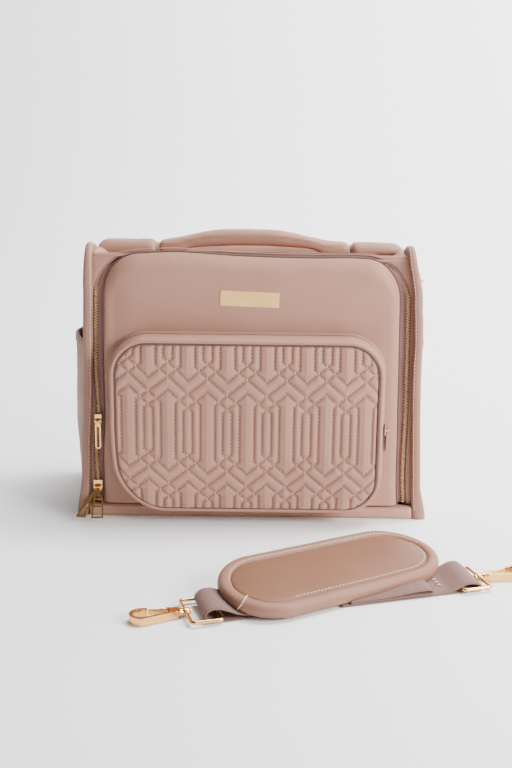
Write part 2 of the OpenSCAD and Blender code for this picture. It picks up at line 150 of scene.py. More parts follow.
def make_stage():
    profile = [(-2.2, 0.0), (0.55, 0.0)]
    for i in range(1, 13):
        a = math.radians(90 * i / 12)
        profile.append((0.55 + 0.9 * math.sin(a), 0.9 - 0.9 * math.cos(a)))
    profile.append((1.45, 3.2))
    verts = [(x, y, z) for y, z in profile for x in (-4.0, 4.0)]
    faces = [(2 * i, 2 * i + 1, 2 * i + 3, 2 * i + 2) for i in range(len(profile) - 1)]
    mesh = bpy.data.meshes.new("sweep")
    mesh.from_pydata(verts, [], faces)
    for p in mesh.polygons:
        p.use_smooth = True
    sweep = bpy.data.objects.new("sweep", mesh)
    bpy.context.scene.collection.objects.link(sweep)
    mesh.materials.append(MATERIALS["paper"])


def area_light(name, place, target, size, power, colour=(1, 1, 1)):
    data = bpy.data.lights.new(name, "AREA")
    data.shape = "RECTANGLE"
    data.size, data.size_y = size
    data.energy = power
    data.color = colour
    lamp = bpy.data.objects.new(name, data)
    bpy.context.scene.collection.objects.link(lamp)
    lamp.location = place
    lamp.rotation_euler = (Vector(target) - Vector(place)).to_track_quat("-Z", "Y").to_euler()


def make_lights():
    middle = (0, 0, 0.13)
    area_light("key", (1.0, -0.75, 0.6), middle, (0.5, 0.5), 26, (1.0, 0.985, 0.965))
    area_light("fill", (1.05, -1.75, 0.35), middle, (1.5, 1.0), 10.5, (0.97, 0.98, 1.0))
    area_light("top", (0.5, -0.1, 1.9), (0, -0.05, 0), (1.6, 1.2), 11.5)
    area_light("backdrop", (1.0, 0.35, 1.9), (0.6, 1.4, 0.6), (1.8, 0.9), 130)
    world = bpy.data.worlds.new("studio")
    bpy.context.scene.world = world
    world.use_nodes = True
    back = world.node_tree.nodes["Background"]
    back.inputs["Color"].default_value = (0.97, 0.98, 1.0, 1)
    back.inputs["Strength"].default_value = 0.2


# ---------------------------------------------------------------- materials
class Nodes:
    """Short calls for building a material's node tree."""

    def __init__(self, name):
        self.material = bpy.data.materials.new(name)
        self.material.use_nodes = True
        self.tree = self.material.node_tree
        self.shader = self.tree.nodes["Principled BSDF"]
        self.place = self.add("ShaderNodeTexCoord", {})["Object"]

    def add(self, kind, inputs, **values):
        """A node whose inputs are constants or sockets to link; returns its outputs."""
        made = self.tree.nodes.new(kind)
        for key, value in values.items():
            setattr(made, key, value)
        self.fill(made, inputs)
        return made.outputs

    def fill(self, node, inputs):
        for key, value in inputs.items():
            if isinstance(value, bpy.types.NodeSocket):
                self.tree.links.new(value, node.inputs[key])
            else:
                node.inputs[key].default_value = value

    def turned(self, rotation, scale=(1, 1, 1)):
        inputs = {"Vector": self.place, "Rotation": rotation, "Scale": scale}
        return self.add("ShaderNodeMapping", inputs)["Vector"]

    def noise(self, scale, detail=3.0, rough=0.5, vector=None):
        return self.add("ShaderNodeTexNoise", {"Scale": scale, "Detail": detail, "Roughness": rough,
                                               "Vector": vector or self.place})["Fac"]

    def cells(self, scale):
        return self.add("ShaderNodeTexVoronoi", {"Scale": scale, "Vector": self.place},
                        feature="DISTANCE_TO_EDGE")["Distance"]

    def wave(self, scale, direction, distortion, vector=None):
        return self.add("ShaderNodeTexWave", {"Scale": scale, "Distortion": distortion,
                                              "Vector": vector or self.place},
                        wave_type="BANDS", bands_direction=direction)["Fac"]

    def ramp(self, value, stops):
        made = self.tree.nodes.new("ShaderNodeValToRGB")
        ramp = made.color_ramp
        while len(ramp.elements) < len(stops):
            ramp.elements.new(0.5)
        for element, (place, colour) in zip(ramp.elements, stops):
            element.position = place
            element.color = (*colour, 1)
        self.fill(made, {"Fac": value})
        return made.outputs["Color"]

    def span(self, value, low, high):
        return self.add("ShaderNodeMapRange", {"Value": value, "To Min": low, "To Max": high})["Result"]

    def math(self, kind, a, b):
        return self.add("ShaderNodeMath", {0: a, 1: b}, operation=kind)["Value"]

    def mix(self, kind, share, a, b):
        """Mixes two colours; they are sockets 6 and 7 of the node, and the mix is its output 2."""
        a, b = ((*c, 1) if isinstance(c, tuple) else c for c in (a, b))
        return self.add("ShaderNodeMix", {0: share, 6: a, 7: b}, data_type="RGBA", blend_type=kind)[2]

    def edges(self):
        """0 in creases, 0.5 on flats and 1 on rubbed outer edges."""
        found = self.add("ShaderNodeNewGeometry", {})["Pointiness"]
        return self.add("ShaderNodeMapRange", {"Value": found, "From Min": 0.44, "From Max": 0.56})["Result"]

    def bump(self, *layers):
        """Each layer is (height, strength, depth in metres); the last one is uppermost."""
        normal = {}
        for height, strength, depth in layers:
            inputs = {"Height": height, "Strength": strength, "Distance": depth, **normal}
            normal = {"Normal": self.add("ShaderNodeBump", inputs)["Normal"]}
        self.fill(self.shader, normal)

    def surface(self, colour, roughness, **constants):
        """Ends the tree: the shader's colour, roughness and further constants."""
        self.fill(self.shader, {"Base Color": colour, "Roughness": roughness})
        self.fill(self.shader, {key.replace("_", " "): value for key, value in constants.items()})
        return self.material


def tone(colour, factor):
    return tuple(min(1.0, c * factor) for c in colour)


def leather(name, colour, rough=0.5, coat=0.04, grain=820, relief=0.00012):
    m = Nodes(name)
    base = m.ramp(m.noise(22, 3, 0.55),
                  [(0.3, tone(colour, 0.93)), (0.55, colour), (0.75, tone(colour, 1.05))])
    speck = m.ramp(m.noise(grain * 1.6, 2), [(0.35, (0.9, 0.89, 0.89)), (0.6, (1, 1, 1))])
    base = m.mix("MULTIPLY", 0.55, base, speck)
    # painted shade: the leather's colour is darkened in creases and hollows, where shade falls
    crease_shade = m.ramp(m.edges(), [(0.25, (0.72, 0.66, 0.64)), (0.5, (1, 1, 1)), (0.8, (1.0, 1.0, 1.0))])
    base = m.mix("MULTIPLY", 0.8, base, crease_shade)
    light = m.ramp(m.edges(), [(0.55, (0, 0, 0)), (0.95, (1, 1, 1))])
    base = m.mix("MIX", m.math("MULTIPLY", light, 0.35), base, tone(colour, 1.16))
    m.bump((m.noise(60, 2), 0.25, 0.0006), (m.cells(grain), 0.45, relief), (m.noise(2600, 2), 0.2, 0.00005))
    return m.surface(base, m.span(m.noise(140, 3), rough - 0.07, rough + 0.08), Coat_Weight=coat,
                     Coat_Roughness=0.4, Sheen_Weight=0.02, Sheen_Roughness=0.5, Specular_IOR_Level=0.1)


def metal(name, colour, rough=0.16):
    m = Nodes(name)
    base = m.ramp(m.noise(55, 3), [(0.3, tone(colour, 0.88)), (0.7, tone(colour, 1.06))])
    tarnish = m.ramp(m.edges(), [(0.2, (0.55, 0.4, 0.3)), (0.5, (1, 1, 1))])
    scratch = m.noise(900, 3, 0.6, m.turned((0, 0, 0), (1.0, 0.2, 1.0)))
    m.bump((m.noise(300, 2), 0.08, 0.0003), (scratch, 0.05, 0.00005))
    return m.surface(m.mix("MULTIPLY", 0.6, base, tarnish), m.span(scratch, rough * 0.7, rough * 1.5),
                     Metallic=1.0)


def woven(name, colour, warp=1500, rough=0.8, sheen=0.3, depth=0.0002, slant=0.0):
    """Plain or twill weave from crossing bands of yarn."""
    m = Nodes(name)
    place = m.turned((0, slant, slant))
    along, across, side = (m.wave(warp / 6.28, way, 0.3, place) for way in ("DIAGONAL", "Z", "X"))
    yarn = m.math("MAXIMUM", m.math("MULTIPLY", side, along), m.math("MULTIPLY", across, 0.8))
    base = m.ramp(yarn, [(0.05, tone(colour, 0.72)), (0.5, colour), (0.95, tone(colour, 1.12))])
    cloudy = m.ramp(m.noise(40, 3), [(0.3, (0.9, 0.9, 0.9)), (0.7, (1, 1, 1))])
    m.bump((yarn, 0.6, depth), (m.noise(3000, 2), 0.3, 0.00008))
    return m.surface(m.mix("MULTIPLY", 0.8, base, cloudy),
                     m.span(m.noise(700, 2), rough - 0.08, rough + 0.08),
                     Sheen_Weight=sheen, Sheen_Roughness=0.4)


def thread(name, colour):
    m = Nodes(name)
    twist = m.wave(900, "DIAGONAL", 0.5)
    base = m.ramp(twist, [(0.1, tone(colour, 0.8)), (0.8, tone(colour, 1.05))])
    m.bump((twist, 0.4, 0.0001))
    return m.surface(base, m.span(m.noise(1500, 2), 0.55, 0.75), Sheen_Weight=0.3)


def paper():
    m = Nodes("paper")
    base = m.ramp(m.noise(1.2, 2), [(0.3, (0.93, 0.93, 0.935)), (0.7, (0.96, 0.96, 0.965))])
    m.bump((m.noise(900, 2), 0.05, 0.0002))
    return m.surface(base, m.span(m.noise(60, 3), 0.68, 0.8), Specular_IOR_Level=0.25)


ROSE = (0.395, 0.212, 0.155)
MATERIALS = {
    "rose": leather("rose_leather", ROSE, 0.5),
    "trim": leather("rose_trim", tone(ROSE, 0.8), 0.46, 0.06, 900),
    # painted light: a lightened copy of the rose leather for the foot trim, offsetting the shade under the
    # pocket's overhang
    "foot": leather("foot_leather_painted_light", tone(ROSE, 1.2), 0.5, 0.04, 900),
    "piping": leather("rose_piping", tone(ROSE, 0.94), 0.44, 0.08, 1000),
    # dark leather for the flap's piping cord, and painted shade for the cord in the pocket's groove
    "dark_piping_and_groove_shade": leather("dark_piping_and_groove_shade", (0.12, 0.065, 0.055), 0.5, 0.04, 1000),
    "tan": leather("tan_leather", (0.205, 0.094, 0.055), 0.42, 0.12, 700, 0.00008),
    "pad_roll": leather("pad_roll_leather", (0.28, 0.14, 0.095), 0.42, 0.1, 1000),
    "grip": leather("grip_leather", tone(ROSE, 0.84), 0.5, 0.04, 820),
    "tape_leather": leather("rose_gusset", (0.38, 0.20, 0.17), 0.55, 0.02, 1000),
    "tape": woven("zip_tape", (0.36, 0.19, 0.17), 2600, 0.85, 0.2),
    "webbing": woven("strap_webbing", (0.19, 0.098, 0.078), 2400, 0.78, 0.2, 0.0003, 0.6),
    "lining": woven("lining_cloth", (0.56, 0.50, 0.44), 3200, 0.8, 0.25),
    "gold": metal("pale_gold", (0.84, 0.47, 0.17), 0.14),
    "plate": metal("brushed_plate", (1.0, 0.64, 0.26), 0.48),
    "chain": metal("chain_brass", (0.88, 0.62, 0.33), 0.26),
    "tonal": metal("tonal_metal", (0.52, 0.34, 0.29), 0.34),
    "thread": thread("pale_thread", (0.72, 0.52, 0.42)),
    "tonal_thread": thread("tonal_thread", (0.50, 0.33, 0.28)),
    "board": woven("base_card", (0.10, 0.10, 0.105), 1800, 0.9, 0.1),
    "quilt_thread": thread("quilt_thread", (0.68, 0.47, 0.37)),
    "paper": paper(),
}
SLOTS = {material: slot for slot, materials in {
    "shell_leather": ("rose", "grip", "tape_leather"),
    "trim_leather": ("trim", "foot", "piping", "dark_piping_and_groove_shade", "pad_roll"),
    "tan_leather": ("tan",), "zip_tape": ("tape",), "lining_fabric": ("lining",),
    "gold_metal": ("chain",), "tonal_metal": ("tonal",),
    "webbing": ("webbing", "thread", "tonal_thread", "quilt_thread"),
}.items() for material in materials}


# ---------------------------------------------------------------- mesh helpers
class Shape:
    """Vertices in millimetres and the faces between them."""

    def __init__(self):
        self.verts = []
        self.faces = []

    def lattice(self, rows, loop_rows=False, loop_columns=False, flip=False):
        """Joins a grid of points; returns the index of its first point."""
        start, n, m = len(self.verts), len(rows), len(rows[0])
        for row in rows:
            self.verts.extend(tuple(p) for p in row)
        for i in range(n if loop_rows else n - 1):
            for j in range(m if loop_columns else m - 1):
                a, b = start + i * m + j, start + i * m + (j + 1) % m
                c, d = start + ((i + 1) % n) * m + (j + 1) % m, start + ((i + 1) % n) * m + j
                self.faces.append((a, d, c, b) if flip else (a, b, c, d))
        return start

    def slab(self, pairs):
        """A closed sheet from a grid of pairs of points on its two faces."""
        n, m = len(pairs), len(pairs[0])
        f = self.lattice([[front for front, back in row] for row in pairs])
        b = self.lattice([[back for front, back in row] for row in pairs], flip=True)
        rim = [(0, j) for j in range(m)] + [(i, m - 1) for i in range(1, n)]
        rim += [(n - 1, j) for j in range(m - 2, -1, -1)] + [(i, 0) for i in range(n - 2, 0, -1)]
        for (i, j), (k, l) in zip(rim, rim[1:] + rim[:1]):
            p, q = i * m + j, k * m + l
            self.faces.append((f + q, f + p, b + p, b + q))

    def tube(self, rows, closed=False):
        """Joins loops of points: into a ring when closed, and capped at both ends otherwise."""
        start = self.lattice(rows, loop_rows=closed, loop_columns=True)
        if not closed:
            m = len(rows[0])
            last = start + (len(rows) - 1) * m
            self.faces.append(tuple(range(start, start + m))[::-1])
            self.faces.append(tuple(range(last, last + m)))

    def sweep(self, stations, section, closed=False):
        """Sweeps a closed section (a, b) along stations (point, axis a, axis b)."""
        self.tube([[p + a * u + b * v for u, v in section] for p, a, b in stations], closed)


def sheet(rows, columns, point):
    """A closed sheet. point(t, u) gives its two faces' points for t from 0 to 1, u from -1 to 1."""
    shape = Shape()
    shape.slab([[point(t, u) for u in even(-1, 1, columns)] for t in even(0, 1, rows)])
    return shape


def rim_line(point, columns, below):
    """The middle of a sheet's last edge, moved down by below."""
    edge = [point(1.0, u) for u in even(-1, 1, columns)]
    return [(Vector(a) + Vector(b)) / 2 - Vector((0, 0, below)) for a, b in edge]


def add_piece(shape, name, material, body, node=None):
    """Makes a piece of the given material that rides on body and may stand for a CAD node."""
    mesh = bpy.data.meshes.new(name)
    mesh.from_pydata([tuple(c * MM for c in v) for v in shape.verts], [], shape.faces)
    work = bmesh.new()
    work.from_mesh(mesh)
    bmesh.ops.remove_doubles(work, verts=work.verts, dist=0.00001)
    bmesh.ops.dissolve_degenerate(work, edges=work.edges, dist=0.000005)
    bmesh.ops.recalc_face_normals(work, faces=work.faces)
    work.to_mesh(mesh)
    work.free()
    mesh.polygons.foreach_set("use_smooth", [True] * len(mesh.polygons))
    made = bpy.data.objects.new(name, mesh)
    bpy.context.scene.collection.objects.link(made)
    mesh.materials.append(MATERIALS[material])
    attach(made, body)
    if node:
        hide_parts(node)
    return made


FILL_PRESSURE = 4.0
FILL_VOXEL = 4.0
FILL_RISE = 2.5


def puff_up(piece, pinned):
    """Fills a sewn cushion by cloth simulation. pinned(x, y, z) is 1 at a seam and 0 away from
    it; no point moves further than FILL_RISE."""
    mesh, scene = piece.data, bpy.context.scene
    remesh = piece.modifiers.new("remesh", "REMESH")
    remesh.mode, remesh.voxel_size, remesh.use_smooth_shade = "VOXEL", FILL_VOXEL * MM, True
    apply_modifiers(piece)
    group = piece.vertex_groups.new(name="sewn")
    start = [v.co.copy() for v in mesh.vertices]
    for i, p in enumerate(start):
        group.add([i], pinned(p.x / MM, p.y / MM, p.z / MM), "REPLACE")
    cloth = piece.modifiers.new("cloth", "CLOTH")
    settings = cloth.settings
    settings.quality = 6
    settings.mass = 0.25
    settings.tension_stiffness = settings.compression_stiffness = 60
    settings.shear_stiffness = 30
    settings.bending_stiffness = 8
    settings.use_pressure = True
    settings.uniform_pressure_force = FILL_PRESSURE
    settings.vertex_group_mass = "sewn"
    settings.effector_weights.gravity = 0
    cloth.collision_settings.use_collision = False
    for number in range(1, 21):
        scene.frame_set(number)
    shaped = piece.evaluated_get(bpy.context.evaluated_depsgraph_get()).to_mesh()
    moved = [v.co.copy() for v in shaped.vertices]
    piece.modifiers.remove(cloth)
    scene.frame_set(1)
    for vertex, a, b in zip(mesh.vertices, start, moved):
        step = b - a
        vertex.co = a + step * min(1.0, FILL_RISE * MM / max(step.length, 1e-9))
    fine = piece.modifiers.new("fine", "SUBSURF")
    fine.levels = fine.render_levels = 1
    apply_modifiers(piece)


def apply_modifiers(piece):
    """Puts the modifiers' result into the mesh."""
    made = bpy.data.meshes.new_from_object(
        piece.evaluated_get(bpy.context.evaluated_depsgraph_get()))
    work = bmesh.new()
    work.from_mesh(made)
    piece.modifiers.clear()
    work.to_mesh(piece.data)
    work.free()
    piece.data.polygons.foreach_set("use_smooth", [True] * len(piece.data.polygons))
    bpy.data.meshes.remove(made)


def superellipse(sides, p, q=None):
    """Points round a circle from -1 to 1, squared in its two directions by powers below 1."""
    turns = [2 * math.pi * i / sides for i in range(sides)]
    return [(math.copysign(abs(math.cos(a)) ** p, math.cos(a)),
             math.copysign(abs(math.sin(a)) ** (q or p), math.sin(a))) for a in turns]


def soft_section(wide, deep, sides=20, power=2.8):
    """A rounded rectangle, or an ellipse when power is 2."""
    return [(wide / 2 * a, deep / 2 * b) for a, b in superellipse(sides, 2 / power)]


def stations_along(points, up):
    """Stations at points: axis a lies across the path, axis b is the given up direction."""
    made = []
    for i, p in enumerate(points):
        ahead = (points[min(i + 1, len(points) - 1)] - points[max(i - 1, 0)]).normalized()
        top = up[i] if isinstance(up, list) else up
        side = ahead.cross(top).normalized()
        made.append((p, side, side.cross(ahead).normalized()))
    return made


def resample(line, step):
    """Points at an even distance along a line."""
    lengths = [0.0]
    for a, b in zip(line, line[1:]):
        lengths.append(lengths[-1] + (b - a).length)
    count = max(1, round(lengths[-1] / step))
    made, k = [], 0
    for i in range(count + 1):
        at = lengths[-1] * i / count
        while k < len(lengths) - 2 and lengths[k + 1] < at:
            k += 1
        part = lengths[k + 1] - lengths[k]
        made.append(line[k].lerp(line[k + 1], (at - lengths[k]) / part if part else 0))
    return made


def path_length(points):
    return sum((b - a).length for a, b in zip(points, points[1:]))


def add_stitches(shape, points, normal, lift, pitch=STITCH_PITCH, long=STITCH_LONG, r=STITCH_R):
    """A row of short rounded stitches along a line; normal is a vector or a function."""
    places = resample(points, pitch)
    for a, b in zip(places, places[1:]):
        middle = (a + b) / 2
        ahead = (b - a).normalized()
        side = ahead.cross(normal(middle) if callable(normal) else normal).normalized()
        top = side.cross(ahead).normalized()
        rows = []
        for t, h, k in ((-0.5, -0.75, 0.45), (-0.3, 0.25, 0.95), (0, 0.5, 1), (0.3, 0.25, 0.95),
                        (0.5, -0.75, 0.45)):
            centre = middle + ahead * (long * t) + top * (r * h + lift)
            rows.append([centre + side * (r * k * math.cos(q)) + top * (r * k * math.sin(q))
                         for q in (0.0, 1.05, 2.09, 3.14, 4.19, 5.24)])
        shape.tube(rows)


def sew(name, material, body, *rows):
    """A piece made of rows of stitches: (points, normal, lift)."""
    shape = Shape()
    for row in rows:
        add_stitches(shape, *row)
    add_piece(shape, name, material, body)


# ---------------------------------------------------------------- outlines in the front plane
def settle(x, z):
    """The soft top edge rises on the left of the middle and hangs a little on the right."""
    lift = 3.4 * math.exp(-((x + 76) / 42) ** 2) - 1.3 * math.exp(-((x - 50) / 50) ** 2) \
        - 1.8 * smooth((x - 90) / 40)
    return z + lift * smooth((z - 190) / 75)


def zip_drift(x, z):
    """Both legs of the zip wander sideways a little."""
    if x > 0:
        return 0.8 * smooth((z - 60) / 100) - 1.8 * smooth((z - 225) / 30) \
            - 1.2 * smooth((110 - z) / 60) + 1.2 * smooth((45 - z) / 40)
    between = math.sin(math.pi * min(1.0, max(0.0, (z - 34) / 62)))
    above = smooth((z - 105) / 60) * (1 - 0.25 * smooth((z - 225) / 30))
    return -2.0 * between - 3.2 * above


def arch_line(off, low, step=4.0, loose=True):
    """(x, z, outward x, outward z) along the zip's arch, moved out by off, left to right."""
    r, c, s = ZIP_RADIUS + off, math.cos(ZIP_TILT), math.sin(ZIP_TILT)
    start_z = ARC_Z + r * s
    leg = even(low, start_z, max(2, round((start_z - low) / step)))[:-1]
    right = [(zip_half(z) + off / c, z, c, s) for z in leg]
    for a in even(ZIP_TILT, math.pi / 2, max(8, round((math.pi / 2 - ZIP_TILT) * r / step))):
        right.append((ARC_X + r * math.cos(a), ARC_Z + r * math.sin(a), math.cos(a), math.sin(a)))
    right += [(x, ZIP_TOP + off, 0.0, 1.0) for x in even(ARC_X, 0, max(2, round(ARC_X / step)))[1:]]
    line = [(-x, z, -nx, nz) for x, z, nx, nz in right] + right[-2::-1]
    if loose:
        line = [(x + zip_drift(x, z), settle(x, z), nx, nz) for x, z, nx, nz in line]
    return line


def box_line(x0, x1, z0, z1, r, step=3.0):
    """(x, z, outward x, outward z) round a box whose corner radii start at the lower left."""
    a, b, c, d = r
    corners = ((x0 + a, z0 + a, 270, a), (x0 + b, z1 - b, 180, b), (x1 - c, z1 - c, 90, c),
               (x1 - d, z0 + d, 0, d))
    line = []
    for cx, cz, begin, r in corners:
        turns = max(6, round(r * math.pi / 2 / step))
        for i in range(turns + 1):
            a = math.radians(begin - 90 * i / turns)
            line.append((cx + r * math.cos(a), cz + r * math.sin(a), math.cos(a), math.sin(a)))
    full = []
    for p, q in zip(line, line[1:] + line[:1]):
        full.append(p)
        gap = math.hypot(q[0] - p[0], q[1] - p[1])
        for i in range(1, round(gap / step) if gap > 1.6 * step else 0):
            t = i / round(gap / step)
            full.append(tuple(a + (b - a) * t for a, b in zip(p, q)))
    return full


def pocket_shift(x, z):
    """The left edge is drawn in towards its foot."""
    return 4.5 * smooth((105 - z) / 85) * smooth((POCKET_MID - 40 - x) / 70)


def pocket_line(grow, foot=0.0, step=3.0):
    line = box_line(POCKET_X0 - grow, POCKET_X1 + grow, POCKET_Z0 + foot, POCKET_Z1 + grow,
                    [r + grow for r in POCKET_R], step)
    return [(x + pocket_shift(x, z), z, nx, nz) for x, z, nx, nz in line]


def pocket_inset(x, z):
    """Distance in from the pocket's outline; negative outside."""
    x -= pocket_shift(x, z)
    high = z > (POCKET_Z0 + POCKET_Z1) / 2
    left = x < POCKET_MID
    r = POCKET_R[1 if high and left else 2 if high else 0 if left else 3]
    dx = (POCKET_X0 + r - x) if left else (x - POCKET_X1 + r)
    dz = (z - POCKET_Z1 + r) if high else (POCKET_Z0 + r - z)
    return r - math.hypot(max(dx, 0), max(dz, 0)) - min(max(dx, dz), 0)


# ---------------------------------------------------------------- quilted pocket
def quilt_rise(x):
    """The stitched rows climb towards the left edge, where the panel is pulled back."""
    t = (x - POCKET_MID) / 100
    return 5.2 * t * t if t < 0 else -0.9 * t * t


def quilt_segments():
    """Stitch lines as ((x, z), (x, z)): nested long hexagons whose points interlace."""
    half, low, high = QUILT_PERIOD / 2, POCKET_Z0 - 10, POCKET_Z1 + 20
    top, foot = QUILT_ZONES
    run = half + QUILT_INNER
    inner_rise = QUILT_APEX + QUILT_SLOPE * run
    outer_rise = QUILT_SLOPE * (QUILT_OUTER + QUILT_PERIOD / 4)
    lines = []
    for k in range(-5, 6):
        middle = POCKET_MID + k * QUILT_PERIOD
        for s in (-1, 1):
            for x, z in ((middle, top), (middle + half, foot)):
                lines.append(((x + half, z + QUILT_APEX), (x + half + s * run, z + inner_rise)))
                lines.append(((x, z - QUILT_APEX), (x + s * run, z - inner_rise)))
                lines.append(((x - s * QUILT_OUTER, z + outer_rise),
                              (x + s * (half + QUILT_OUTER), z - outer_rise)))
            for off, rise in ((QUILT_INNER, inner_rise), (QUILT_OUTER, outer_rise)):
                x = middle + s * off
                lines.append(((x, top + rise), (x, high)))
                lines.append(((x + half, foot + rise), (x + half, top - rise)))
                lines.append(((x, low), (x, foot - rise)))
    return lines


class Quilt:
    """The stitch lines that cross the pocket, and how far the padding rises between them."""

    def __init__(self):
        self.lines = [l for l in quilt_segments() if self.near(*l)]
        self.start = np.array([l[0] for l in self.lines])
        self.along = np.array([l[1] for l in self.lines]) - self.start
        self.square = (self.along ** 2).sum(1)

    def near(self, a, b):
        return any(pocket_inset(a[0] + (b[0] - a[0]) * t, a[1] + (b[1] - a[1]) * t) > -12
                   for t in even(0, 1, 40))

    def distance(self, x, z):
        """Distance from a point of the panel to the nearest stitch line."""
        p = np.array([x, z - quilt_rise(x)]) - self.start
        t = np.clip((p * self.along).sum(1) / self.square, 0, 1)
        return float(np.sqrt(((p - self.along * t[:, None]) ** 2).sum(1)).min())

    def puff(self, x, z):
        d = self.distance(x, z)
        channel = 1 - (1 - min(d / 4.4, 1.0)) ** 2.4
        return 2.5 * channel + 0.6 * smooth((d - 4.0) / 3.2) + 0.12 * ripple(x, 0, z, 9.0, 3)


QUILT = Quilt()


def pocket_crown(x, z):
    """How far the padded panel stands out of its piping, without the quilting."""
    d = max(0.0, pocket_inset(x, z))
    edge = 1 - math.exp(-d / 7.0)
    return edge * (1.6 + 2.0 * smooth(d / 60)) - 1.2 * math.exp(-d / 2.2) \
        + 0.5 * ripple(x, 5, z, 70, 1)


def pocket_face(x, z):
    d = pocket_inset(x, z)
    return POCKET_Y + 1.2 - pocket_crown(x, z) - QUILT.puff(x, z) * smooth((d - 0.5) / 4.5)


def pocket_rows(inset, step):
    """Heights and spans of the rows that fill the pocket's outline."""
    z0, z1 = POCKET_Z0 + inset, POCKET_Z1 - inset
    tall = z1 - z0
    count = round(tall / step)
    for i in range(count + 1):
        t = i / count
        z = z0 + tall * (t - 0.9 * math.sin(2 * math.pi * t) / (2 * math.pi))
        ends = []
        for low, high in (POCKET_R[:2], POCKET_R[:1:-1]):
            low, high = low - inset, high - inset
            down = max(0.0, (z0 + low - z) / low, (z - z1 + high) / high)
            r = low if z < (z0 + z1) / 2 else high
            ends.append(r - r * math.sqrt(max(0.0, 1 - down * down)))
        xl, xr = POCKET_X0 + inset + ends[0], POCKET_X1 - inset - ends[1]
        yield z, xl + pocket_shift(xl, z), xr


def make_pocket_panel():
    shape, pairs = Shape(), []
    for z, xl, xr in pocket_rows(0.3, 0.95):
        pairs.append([((x, pocket_face(x, z), z), (x, POCKET_Y + 3.0, z)) for x in even(xl, xr, 330)])
    shape.slab(pairs)
    panel = add_piece(shape, "pocket_quilted_panel", "rose", "pocket_flap", "pocket_panel")
    rows = []
    for (xa, za), (xb, zb) in QUILT.lines:
        run = []
        n = max(2, round(math.hypot(xb - xa, zb - za) / 1.2))
        for i in range(n + 1):
            x, z = xa + (xb - xa) * i / n, za + (zb - za) * i / n
            z += quilt_rise(x)
            inside = pocket_inset(x, z) > 2.2
            if inside:
                run.append(Vector((x, POCKET_Y + 1.2 - pocket_crown(x, z), z)))
            if run and (not inside or i == n):
                if len(run) > 2:
                    rows.append((run, FORWARD, 0.1))
                run = []
    sew("pocket_quilt_stitches", "quilt_thread", "pocket_flap", *rows)


def piping(name, line, y, radius, material, sides, node=None):
    """A cord round the pocket along an outline in the front plane, at the depth y(x, z)."""
    shape = Shape()
    shape.sweep([(Vector((x, y(x, z), z)), Vector((nx, 0, nz)), FORWARD) for x, z, nx, nz in line],
                soft_section(2 * radius, 2 * radius, sides, 2), closed=True)
    add_piece(shape, name, material, "pocket_flap", node)


def make_pocket_shell():
    piping("pocket_piping_cord", pocket_line(1.0, 1.2, 2.5),
           lambda x, z: POCKET_Y + 0.9 + 0.25 * ripple(x, 0, z, 30), 2.35, "piping", 12, "pocket_piping")
    # painted shade: a thin near-black cord laid in the groove between the quilted panel and its piping stands
    # for the shadow line there
    piping("pocket_groove_shade_cord", pocket_line(-1.7, 2.6, 2.5), lambda x, z: POCKET_Y - 0.5, 0.7,
           "dark_piping_and_groove_shade", 8)
    seam = pocket_line(3.0, 0.2, 2.5)
    shape, rows = Shape(), []
    near = POCKET_Y + 2.2
    depth = POCKET_BACK - near
    profile = [(0.0, -1.8), (0.12, -0.3), (0.25, 0.6), (0.45, 1.7), (0.65, 2.3), (0.85, 2.2), (1.0, 1.9)]
    for side in (1, -1):
        for t, swell in profile[::side]:
            ring = []
            for x, z, nx, nz in seam:
                out = swell * (1 - 0.8 * smooth((-nz - 0.1) / 0.5)) if swell > 0 else swell
                out += 0.45 * ripple(x, 40 * t, z, 26, 5) * math.sin(math.pi * t) - (0 if side > 0 else 1.5)
                ring.append((x + nx * out, near + depth * t, max(z + nz * out, POCKET_Z0 + 0.15)))
            rows.append(ring)
    shape.lattice(rows, loop_rows=True, loop_columns=True)
    add_piece(shape, "pocket_gusset_leather", "rose", "pocket_flap", "pocket_gusset")
    run = [Vector((x + nx * 0.35, near + depth * 0.21, z + nz * 0.35)) for x, z, nx, nz in seam]
    sew("pocket_gusset_stitches", "tonal_thread", "pocket_flap",
        (run + run[:1], lambda p: outline_normal(p.x, p.z), 0.0))
    rear, line = Shape(), pocket_line(5.2, 0.0, 3)
    profile = ((1.9, 0.2), (2.1, -0.9), (1.4, -1.9), (-0.2, -2.2), (-1.8, -1.9), (-2.2, 0.2))
    rows = [[(x + nx * out, FLAP_Y + y, z + nz * out if z > POCKET_Z0 + 4 else max(z, POCKET_Z0 + 0.2))
             for x, z, nx, nz in line] for out, y in profile]
    rear.lattice(rows, loop_rows=True, loop_columns=True)
    add_piece(rear, "pocket_rear_welt", "rose", "front_flap", "pocket_rear_gusset")


def outline_normal(x, z):
    step = 0.5
    gx = pocket_inset(x - step, z) - pocket_inset(x + step, z)
    gz = pocket_inset(x, z - step) - pocket_inset(x, z + step)
    return Vector((gx, -0.2, gz)).normalized()


def tooth_block(shape, place, across, ahead, out, size):
    """One zip tooth: a block with a rounded crown. size is (across, ahead, out) in full lengths."""
    w, l, h = (s / 2 for s in size)
    outline = ((-1, -0.6), (-0.7, -1), (0.7, -1), (1, -0.6), (1, 0.6), (0.7, 1), (-0.7, 1), (-1, 0.6))
    shape.tube([[place + across * (u * w * shrink) + ahead * (v * l * shrink) + out * (level * h)
                 for u, v in outline]
                for level, shrink in ((-1.0, 1.0), (0.2, 1.0), (0.75, 0.82), (1.0, 0.5))])


